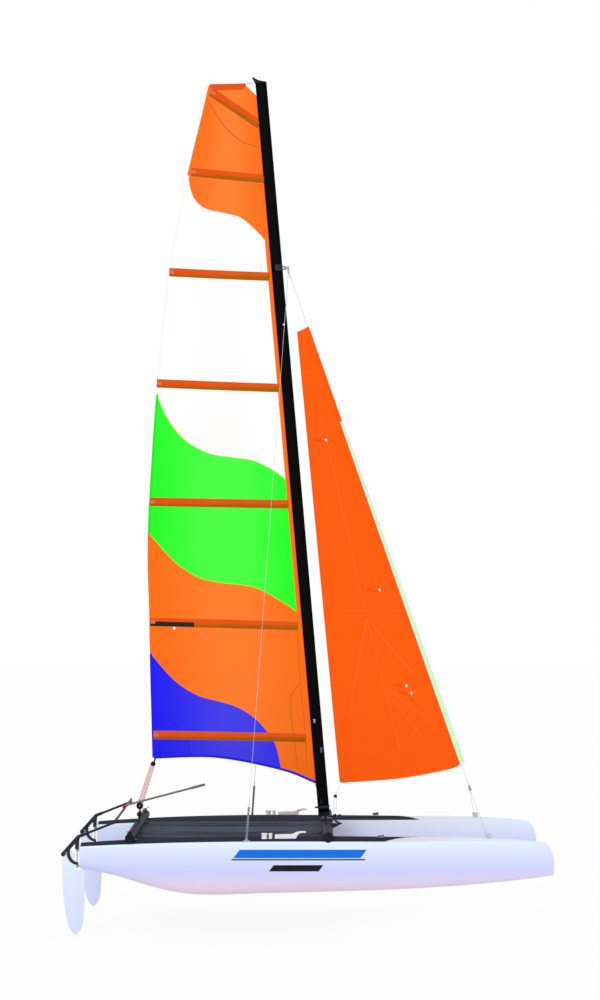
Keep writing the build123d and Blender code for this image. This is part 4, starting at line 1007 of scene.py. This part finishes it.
batch = newBatch()
for side in sides.values():
    y = side * deckPlan["strapY"]
    line = [onStrap(x, y) for x in np.linspace(strapLow[0] + 0.001, strapHigh[0] - 0.001, 40)]
    addStrap(batch, line, (0, 1, 0), deckPlan["strapWidth"], deckPlan["strapThickness"], "nylonWebbing")
    padX = np.linspace(deckPlan["padFrom"], deckPlan["padTo"], 28)
    pad = [onStrap(x, y, deckPlan["padLift"]) for x in padX]
    addStrap(batch, pad, (0, 1, 0), deckPlan["padWidth"], deckPlan["padThickness"], "nylonWebbing")
    stitchY = deckPlan["padWidth"] / 2 - deckPlan["stitchIn"]
    for reach in (-stitchY, stitchY):
        stitching = [spot + Vector((0, reach, deckPlan["stitchLift"])) for spot in pad]
        addStrap(batch, stitching, (0, 1, 0), deckPlan["stitchWidth"], 0.001, "hemWebbing")
makePiece("toeStraps", batch, "boat", ["toe_straps"], sharp=50)
print("trampoline and straps")


def addCams(batch, place, thickness):
    # the two jaws of a cam cleat, with room for a rope between
    radius, spread = 0.011, 0.0125
    for across in (-spread, spread):
        addPlate(batch, ringOutline(radius, 14), thickness, placeAt(place + Vector((0, across, 0))),
                 "blackNylon", 0.001)


# the mainsheet: a block on the traveller car, its cam cleat, and eight falls up to the clew block
# each turned profile is (distance along its axis, radius)
mainsheet = {
    "radius": 0.0055, "top": (-1.792, 0.016, 1.118), "topReach": 0.022, "lowReach": 0.026,
    "falls": (-1, -0.35, 0.35, 1), "topSpread": 0.007, "block": (-1.938, 0.0, 0.660),
    "sheaveY": 0.0105, "cheekY": 0.021,
    "swivel": [(0, 0.010), (0.004, 0.013), (0.010, 0.013), (0.012, 0.008), (0.028, 0.008)],
    "cheek": [(0, 0.034), (0.001, 0.037), (0.003, 0.037), (0.004, 0.034)],
    "sheave": [(0, 0.026), (0.002, 0.026), (0.0045, 0.021), (0.0085, 0.021), (0.011, 0.026),
               (0.013, 0.026)],
    "axle": [(0, 0.005), (0.001, 0.007), (0.051, 0.007), (0.052, 0.005)],
    "arm": [(-0.004, 0, -0.040), (0.018, 0, -0.058), (0.044, 0, -0.072), (0.072, 0, -0.078)],
    "armWidth": 0.020, "armThickness": 0.004,
    "cleat": (0.062, 0, -0.070), "cleatBody": (0.034, 0.040, 0.008), "camThickness": 0.012,
    "fairleadRadius": 0.0022,
    "fairlead": [(-0.016, -0.013, 0.016), (-0.010, -0.011, 0.026), (-0.006, 0, 0.030),
                 (-0.010, 0.011, 0.026), (-0.016, 0.013, 0.016)],
}
blockPlace = Vector(mainsheet["block"])
acrossBoat = (0, 1, 0)
batch = newBatch()
swivelFoot = Vector((blockPlace.x, 0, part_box("traveller_car")[1][2] - 0.002))
addTurned(batch, swivelFoot, (0, 0, 1), mainsheet["swivel"], "redNylon")
for share in (-1, 0, 1):   # three cheeks with a sheave in each of the two gaps
    spot = blockPlace + Vector((0, share * mainsheet["cheekY"] - 0.002, 0))
    addTurned(batch, spot, acrossBoat, mainsheet["cheek"], "blackNylon", 28)
for share in (-1, 1):
    spot = blockPlace + Vector((0, share * mainsheet["sheaveY"] - 0.0065, 0))
    addTurned(batch, spot, acrossBoat, mainsheet["sheave"], "greyAnodised", 28)
addTurned(batch, blockPlace - Vector((0, 0.026, 0)), acrossBoat, mainsheet["axle"], "polishedStainless", 14)
armLine = smoothLine([blockPlace + Vector(step) for step in mainsheet["arm"]], 0.008)
addStrap(batch, armLine, acrossBoat, mainsheet["armWidth"], mainsheet["armThickness"], "darkAlloy")
cleatPlace = blockPlace + Vector(mainsheet["cleat"])
addBlock(batch, mainsheet["cleatBody"], placeAt(cleatPlace, (1, 0, -0.1)), "blackNylon", 0.002)
addCams(batch, cleatPlace + Vector((0.002, 0, 0.010)), mainsheet["camThickness"])
fairlead = smoothLine([cleatPlace + Vector(step) for step in mainsheet["fairlead"]], 0.004)
addTube(batch, fairlead, mainsheet["fairleadRadius"], "polishedStainless", 8)
makePiece("mainsheetBlock", batch, "boat", sharp=40)

batch = newBatch()
topPlace = Vector(mainsheet["top"])
for fore in mainsheet["falls"]:
    for share in (-1, 1):
        high = topPlace + Vector((fore * mainsheet["topReach"], share * mainsheet["topSpread"], 0.010))
        low = blockPlace + Vector((fore * mainsheet["lowReach"], share * mainsheet["sheaveY"], 0.012))
        line = [high.lerp(low, part) for part in np.linspace(0, 1, 18)]
        addTube(batch, line, mainsheet["radius"], "mainsheetRope")
for share in (-1, 1):   # round the lower sheaves
    line = [blockPlace + Vector((mainsheet["lowReach"] * math.cos(turn), share * mainsheet["sheaveY"],
                                 0.012 - 0.030 * math.sin(turn)))
            for turn in np.linspace(0, math.pi, 12)]
    addTube(batch, line, mainsheet["radius"], "mainsheetRope")
sheetPiece = makePiece("mainsheetRope", batch, None)
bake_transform(sheetPiece)
print("mainsheet")

# the jib sheet: a strop from the clew ring to a small block, and two falls down to the car
jibSheet = {
    "block": (0.206, 0.765), "blockShare": 0.6,   # it hangs at this share of the clew's distance to port
    "carAxle": (0.200, 0, 0.552), "ropeRadius": 0.003, "stropRadius": 0.002, "stropReach": 0.004,
    "cheekY": 0.009, "blockReach": 0.0135, "axleReach": 0.0125,
    "cheek": [(0, 0.016), (0.0008, 0.0185), (0.0022, 0.0185), (0.003, 0.016)],
    "sheave": [(0, 0.014), (0.002, 0.014), (0.005, 0.010), (0.009, 0.010), (0.012, 0.014),
               (0.014, 0.014)],
}
jibBlock = Vector((jibSheet["block"][0], clewSpot.y * jibSheet["blockShare"], jibSheet["block"][1]))
carAxle = Vector(jibSheet["carAxle"])
batch = newBatch()
for reach in (-jibSheet["stropReach"], jibSheet["stropReach"]):   # the strop is doubled
    strop = [clewSpot + Vector((0, reach, -0.006)), clewSpot.lerp(jibBlock, 0.5) + Vector((0, reach, 0)),
             jibBlock + Vector((0, reach * 0.5, 0.020))]
    addTube(batch, smoothLine(strop, 0.02), jibSheet["stropRadius"], "jibsheetRope", 8)
for share in (-1, 1):
    spot = jibBlock + Vector((0, share * jibSheet["cheekY"] - 0.0015, 0))
    addTurned(batch, spot, acrossBoat, jibSheet["cheek"], "darkAlloy", 24)
addTurned(batch, jibBlock - Vector((0, 0.007, 0)), acrossBoat, jibSheet["sheave"], "blackNylon", 24)
makePiece("jibSheetBlock", batch, "jib_body", sharp=40)
batch = newBatch()
for fore in (-1, 1):
    high = jibBlock + Vector((fore * jibSheet["blockReach"], 0, -0.004))
    low = carAxle + Vector((fore * jibSheet["axleReach"], 0, 0.006))
    line = [high.lerp(low, part) for part in np.linspace(0, 1, 12)]
    addTube(batch, line, jibSheet["ropeRadius"], "jibsheetRope", 8)
jibSheetPiece = makePiece("jibSheetRope", batch, None)
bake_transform(jibSheetPiece)
print("jib sheet")

# plain stripes on the hulls' outboard sides, as thin film
stripes = {
    "slant": 0.75,   # their ends lean forward this far for each metre up
    "low": 0.0002, "high": 0.0010,   # the film's two faces, off the hull
    # (aft end, lower edge, length, height, finish)
    "bands": [(-0.872, 0.238, 1.330, 0.088, "blueVinyl"), (-0.898, 0.214, 1.400, 0.014, "blackVinyl"),
              (-0.500, 0.098, 0.520, 0.066, "blackVinyl")],
}
batch = newBatch()
for sideName, side in sides.items():
    for aft, low, length, height, finish in stripes["bands"]:
        columns, rows = max(2, round(length / 0.03)), max(2, round(height / 0.02))
        grid = []
        for k in range(rows + 1):
            rise = height * k / rows
            start = aft + rise * stripes["slant"]
            grid.append([touch(sideName + "_hull", (start + length * i / columns, side * 1.6, low + rise),
                               (0, -side, 0)) for i in range(columns + 1)])
        addShell(batch, grid, stripes["low"], stripes["high"], finish)
makePiece("hullStripes", batch, "boat", sharp=50)
print("hull stripes")

# deck fittings on each hull: two drums, a handle and a small cleat, and a cam cleat on the rear beam
fittings = {
    "line": 1.098, "top": 0.490, "drumWaist": 0.84,
    "drums": [(-0.550, 0.0335), (-0.4855, 0.0215)],   # (forward, radius)
    "handleX": -0.32, "handleAft": -0.443, "handleWidth": 0.040,
    "handleTop": [(-0.438, 0.044), (-0.340, 0.048), (-0.258, 0.050), (-0.208, 0.072), (-0.150, 0.080),
                  (-0.112, 0.076)],
    "handleUnder": [(-0.112, 0.062), (-0.160, 0.062), (-0.195, 0.046), (-0.212, 0.010), (-0.222, 0)],
    # the small cleat stands cleatStep ahead, outboard and above the spot where the deck is met
    "cleatX": 0.645, "cleatY": 1.03, "cleatStep": (0.03, 0.05, 0.012), "cleatBody": (0.066, 0.036, 0.026),
    "cleatButton": [(0, 0.011), (0.006, 0.011), (0.010, 0.008), (0.012, 0.004)],
    "beamCleat": (-1.962, 1.100), "beamCleatBody": (0.050, 0.038, 0.012), "beamCamThickness": 0.014,
    "beamRopeRadius": 0.003,
    "beamRope": [(-0.034, 0, 0.012), (0.0, 0, 0.017), (0.026, 0, 0.020), (0.034, 0, 0.032)],
    "stopperKnot": [(0, 0.004), (0.003, 0.008), (0.010, 0.0085), (0.014, 0.004)],
}


def deckSpot(sideName, x, y):
    return touch(sideName + "_deck_grip", (x, sides[sideName] * y, 1.0), (0, 0, -1))[0]


batch = newBatch()
for sideName, side in sides.items():
    for x, radius in fittings["drums"]:   # a flange at each end and a waist between
        waist = radius * fittings["drumWaist"]
        foot = deckSpot(sideName, x, fittings["line"]) - Vector((0, 0, 0.003))
        tall = fittings["top"] - foot.z
        addTurned(batch, foot, (0, 0, 1), [
            (0, radius), (0.006, radius), (0.009, radius * 0.86), (tall * 0.45, waist),
            (tall - 0.014, waist), (tall - 0.011, radius), (tall - 0.003, radius),
            (tall, radius * 0.9), (tall, radius * 0.3)], "whiteNylon", 28)

    foot = deckSpot(sideName, fittings["handleX"], fittings["line"])
    low = foot.z - 0.004
    outline = [(fittings["handleAft"], low)]
    for edge in (fittings["handleTop"], fittings["handleUnder"]):
        outline += [tuple(point) for point in smoothLine([(x, low + z) for x, z in edge], 0.012)]
    upright = Matrix(((1, 0, 0, 0), (0, 0, -1, foot.y), (0, 1, 0, 0), (0, 0, 0, 1)))
    addPlate(batch, outline, fittings["handleWidth"], upright, "whiteNylon", 0.004)

    stepX, stepY, stepZ = fittings["cleatStep"]
    spot = deckSpot(sideName, fittings["cleatX"], fittings["cleatY"]) + Vector((stepX, side * stepY, stepZ))
    addBlock(batch, fittings["cleatBody"], placeAt(spot), "greyNylon", 0.004)
    addTurned(batch, spot + Vector((0.018, 0, 0.010)), (0.5, 0, 1), fittings["cleatButton"], "redNylon")

    beamX, beamY = fittings["beamCleat"]
    spot = Vector((beamX, side * beamY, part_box("rear_beam")[1][2] + 0.004))
    addBlock(batch, fittings["beamCleatBody"], placeAt(spot), "blackNylon", 0.003)
    addCams(batch, spot + Vector((0.004, 0, 0.013)), fittings["beamCamThickness"])
    line = [spot + Vector(step) for step in fittings["beamRope"]]
    addTube(batch, smoothLine(line, 0.006), fittings["beamRopeRadius"], "redRope", 8)
    addTurned(batch, line[-1] - Vector((0, 0, 0.004)), (0.3, 0, 1), fittings["stopperKnot"], "redRope", 12)
makePiece("deckFittings", batch, "boat", sharp=40)
print("deck fittings")

# fittings on the mast and on the sail's tack and head: cleat, eye, exit and downhaulFoot are places
# (ahead of the mast's axis, up the mast)
mastPlan = {
    "cleat": (0.018, 0.684), "eye": (-0.030, 1.006), "exit": (0.010, 5.359), "downhaulFoot": (-0.030, 0.110),
    "cleatBody": (0.020, 0.052, 0.010), "eyePlate": (0.022, 0.040, 0.004), "tackIn": 0.030,
    "cleatTurns": [(-0.016, 0.008), (0.0, -0.010), (0.014, 0.008), (0.004, 0.012), (-0.012, -0.008)],
    "cringle": [(0, 0.007), (0, 0.014), (0.0015, 0.015), (0.003, 0.013), (0.003, 0.008)],
    "footSheave": [(0, 0.010), (0.002, 0.013), (0.010, 0.013), (0.012, 0.010)],
    "lineRadius": 0.0028, "bowReach": 0.014, "bowRadius": 0.0025, "exitRadius": 0.011, "thinRadius": 0.0022,
    "downhaulOut": 0.030, "boardWidth": 0.030,
    "headBoard": [(-0.800, 8.530), (-1.140, 8.530)],
    "rivets": [(-0.83, 8.530), (-0.95, 8.530), (-1.07, 8.530)],
    "rivet": [(0, 0.007), (0.0015, 0.006), (0.002, 0.003)],
}
batch = newBatch()
alongMast = Vector((-rakeSin, 0, rakeCos))


def mastSpot(ahead, up):
    # where the mast's starboard face is met
    flat = fromMast(ahead, up)
    return touch("mast", (flat.x, -0.3, flat.y), acrossBoat)[0]


def onMastFace(spot):
    return placeAt(spot, (1, 0, 0), (0, -1, 0))


spot = mastSpot(*mastPlan["cleat"])
addBlock(batch, mastPlan["cleatBody"], onMastFace(spot - Vector((0, 0.004, 0))), "greyNylon", 0.003)
for sign in (-1, 1):   # horns
    horn = [spot - Vector((0, 0.012, 0)) + alongMast * sign * step for step in (0.0, 0.012, 0.030)]
    addTube(batch, horn, [0.006, 0.006, 0.004], "greyNylon")
line = [spot + Vector((turn, -0.014, 0)) + alongMast * step for step, turn in mastPlan["cleatTurns"]]
addTube(batch, smoothLine(line, 0.004), mastPlan["lineRadius"], "blueRope", 8)
spot = mastSpot(*mastPlan["eye"])
addBlock(batch, mastPlan["eyePlate"], onMastFace(spot - Vector((0, 0.001, 0))), "polishedStainless", 0.001)
bow = [spot - Vector((0, 0.002 + mastPlan["bowReach"] * math.sin(turn), 0))
       + alongMast * 0.011 * math.cos(turn) for turn in np.linspace(0, math.pi, 12)]
addTube(batch, bow, mastPlan["bowRadius"], "polishedStainless", 8)
spot = mastSpot(*mastPlan["exit"])
exitRing = ringOutline(mastPlan["exitRadius"], 18)
addPlate(batch, exitRing, 0.005, onMastFace(spot - Vector((0, 0.001, 0))), "whiteNylon", 0.001)

tackIn = mastPlan["tackIn"]
tackSpot = Vector((tack.x - tackIn, mainY(tack.x - tackIn, tack.y + tackIn), tack.y + tackIn))
below = fromMast(*mastPlan["downhaulFoot"])
below = Vector((below.x, 0, below.y))
for face in (-1, 1):   # cringles at the tack, and the downhaul's two falls to the foot of the mast
    addTurned(batch, tackSpot + Vector((0, face * 0.001, 0)), (0, face, 0), mastPlan["cringle"],
              "greyAnodised")
    out = Vector((0, face * mastPlan["downhaulOut"], 0))
    fall = [tackSpot + Vector((0, face * 0.004, 0)), tackSpot.lerp(below, 0.35) + out * 0.8,
            below + out * 1.15]
    addTube(batch, smoothLine(fall, 0.02), mastPlan["thinRadius"], "blackRope", 8)
    addTurned(batch, below + out, (0, face, 0), mastPlan["footSheave"], "darkAlloy")
for face in (-1, 1):   # the head's stiffening board, riveted through the cloth
    addRibbon(batch, mastPlan["headBoard"], mastPlan["boardWidth"], mainY, "pocketCloth", 0.0022, 0.0004,
              2, face)
    for x, z in mastPlan["rivets"]:
        addTurned(batch, (x, mainY(x, z) + face * 0.0024, z), (0, face, 0), mastPlan["rivet"],
                  "greyAnodised", 12)
mastheadLow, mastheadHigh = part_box("masthead")
halyardTop = Vector(((mastheadLow[0] + mastheadHigh[0]) / 2 - 0.05, 0, mastheadLow[2] + 0.01))
halyard = [Vector((peak.x - 0.012, mainY(peak.x - 0.012, peak.y - 0.012), peak.y - 0.010)),
           Vector((peak.x + 0.020, 0, peak.y + 0.012)), halyardTop]
addTube(batch, smoothLine(halyard, 0.01), mastPlan["thinRadius"], "blackRope", 8)
makePiece("mastFittings", batch, "rig", sharp=40)
print("mast fittings")

# the studio: white paper, an even sky and one soft lamp
studio = {
    "floor": -0.63, "floorSize": 120.0, "paper": "#FCFCFC", "paperGlow": 0.92, "ambient": 0.74,
    "lampPlace": (-3.5, -11.0, 8.4), "lampAim": (0.0, 0.0, 3.0), "lampStrength": 0.95, "lampAngle": 0.35,
    "cameraPlace": (-0.0235, -25.7, 3.423), "lens": 84.4, "shift": (-0.0145, 0.0537),
}


def seenPlainly(tree):
    # 1 for a ray from the camera, straight or by way of a reflection or glass, and 0 for the rest
    path = addNode(tree, "ShaderNodeLightPath").outputs
    seen = addNode(tree, "ShaderNodeMath", {"operation": "MAXIMUM"},
                   {0: path["Is Camera Ray"], 1: path["Is Glossy Ray"]})
    return addNode(tree, "ShaderNodeMath", {"operation": "MAXIMUM"},
                   {0: seen.outputs[0], 1: path["Is Transmission Ray"]}).outputs[0]


# plain white paper: white to the camera, with a soft share of the boat's shadow
paperMaterial = emptyMaterial("studioPaper")
tree = paperMaterial.node_tree
paper = addNode(tree, "ShaderNodeBsdfDiffuse", inputs={"Color": studio["paper"]})
glow = addNode(tree, "ShaderNodeEmission", inputs={"Color": "#FFFFFF", "Strength": 1.0})
share = addNode(tree, "ShaderNodeMath", {"operation": "MULTIPLY"},
                {0: seenPlainly(tree), 1: studio["paperGlow"]})
both = addNode(tree, "ShaderNodeMixShader", inputs={
    0: share.outputs[0], 1: paper.outputs[0], 2: glow.outputs[0]})
addNode(tree, "ShaderNodeOutputMaterial", inputs={"Surface": both.outputs[0]})
half = studio["floorSize"] / 2
floorCorners = [(x * half, y * half, studio["floor"]) for x, y in ((-1, -1), (1, -1), (1, 1), (-1, 1))]
floorMesh = bpy.data.meshes.new("studioFloor")
floorMesh.from_pydata(floorCorners, [], [[0, 1, 2, 3]])
floorMesh.materials.append(paperMaterial)
floor = bpy.data.objects.new("studioFloor", floorMesh)
bpy.context.scene.collection.objects.link(floor)

world = bpy.data.worlds.new("studioWorld")
world.use_nodes = True
bpy.context.scene.world = world
tree = world.node_tree
tree.nodes.clear()
level = addNode(tree, "ShaderNodeMapRange", inputs={0: seenPlainly(tree), 3: studio["ambient"], 4: 1.0})
sky = addNode(tree, "ShaderNodeBackground", inputs={"Color": "#FFFFFF", "Strength": level.outputs[0]})
addNode(tree, "ShaderNodeOutputWorld", inputs={"Surface": sky.outputs[0]})

lamp = bpy.data.lights.new("keyLamp", "SUN")
lamp.energy = studio["lampStrength"]
lamp.angle = studio["lampAngle"]
holder = bpy.data.objects.new("keyLamp", lamp)
holder.location = studio["lampPlace"]
aim = Vector(studio["lampAim"]) - Vector(studio["lampPlace"])
holder.rotation_euler = aim.to_track_quat("-Z", "Y").to_euler()
bpy.context.scene.collection.objects.link(holder)

camera = bpy.data.objects.new("camera", bpy.data.cameras.new("camera"))
camera.data.lens = studio["lens"]
camera.data.shift_x, camera.data.shift_y = studio["shift"]
camera.data.clip_end = 200
camera.location = studio["cameraPlace"]
camera.rotation_euler = (math.radians(90), 0, 0)
bpy.context.scene.collection.objects.link(camera)
bpy.context.scene.camera = camera
bpy.context.scene.view_settings.view_transform = "Standard"
print("studio set")
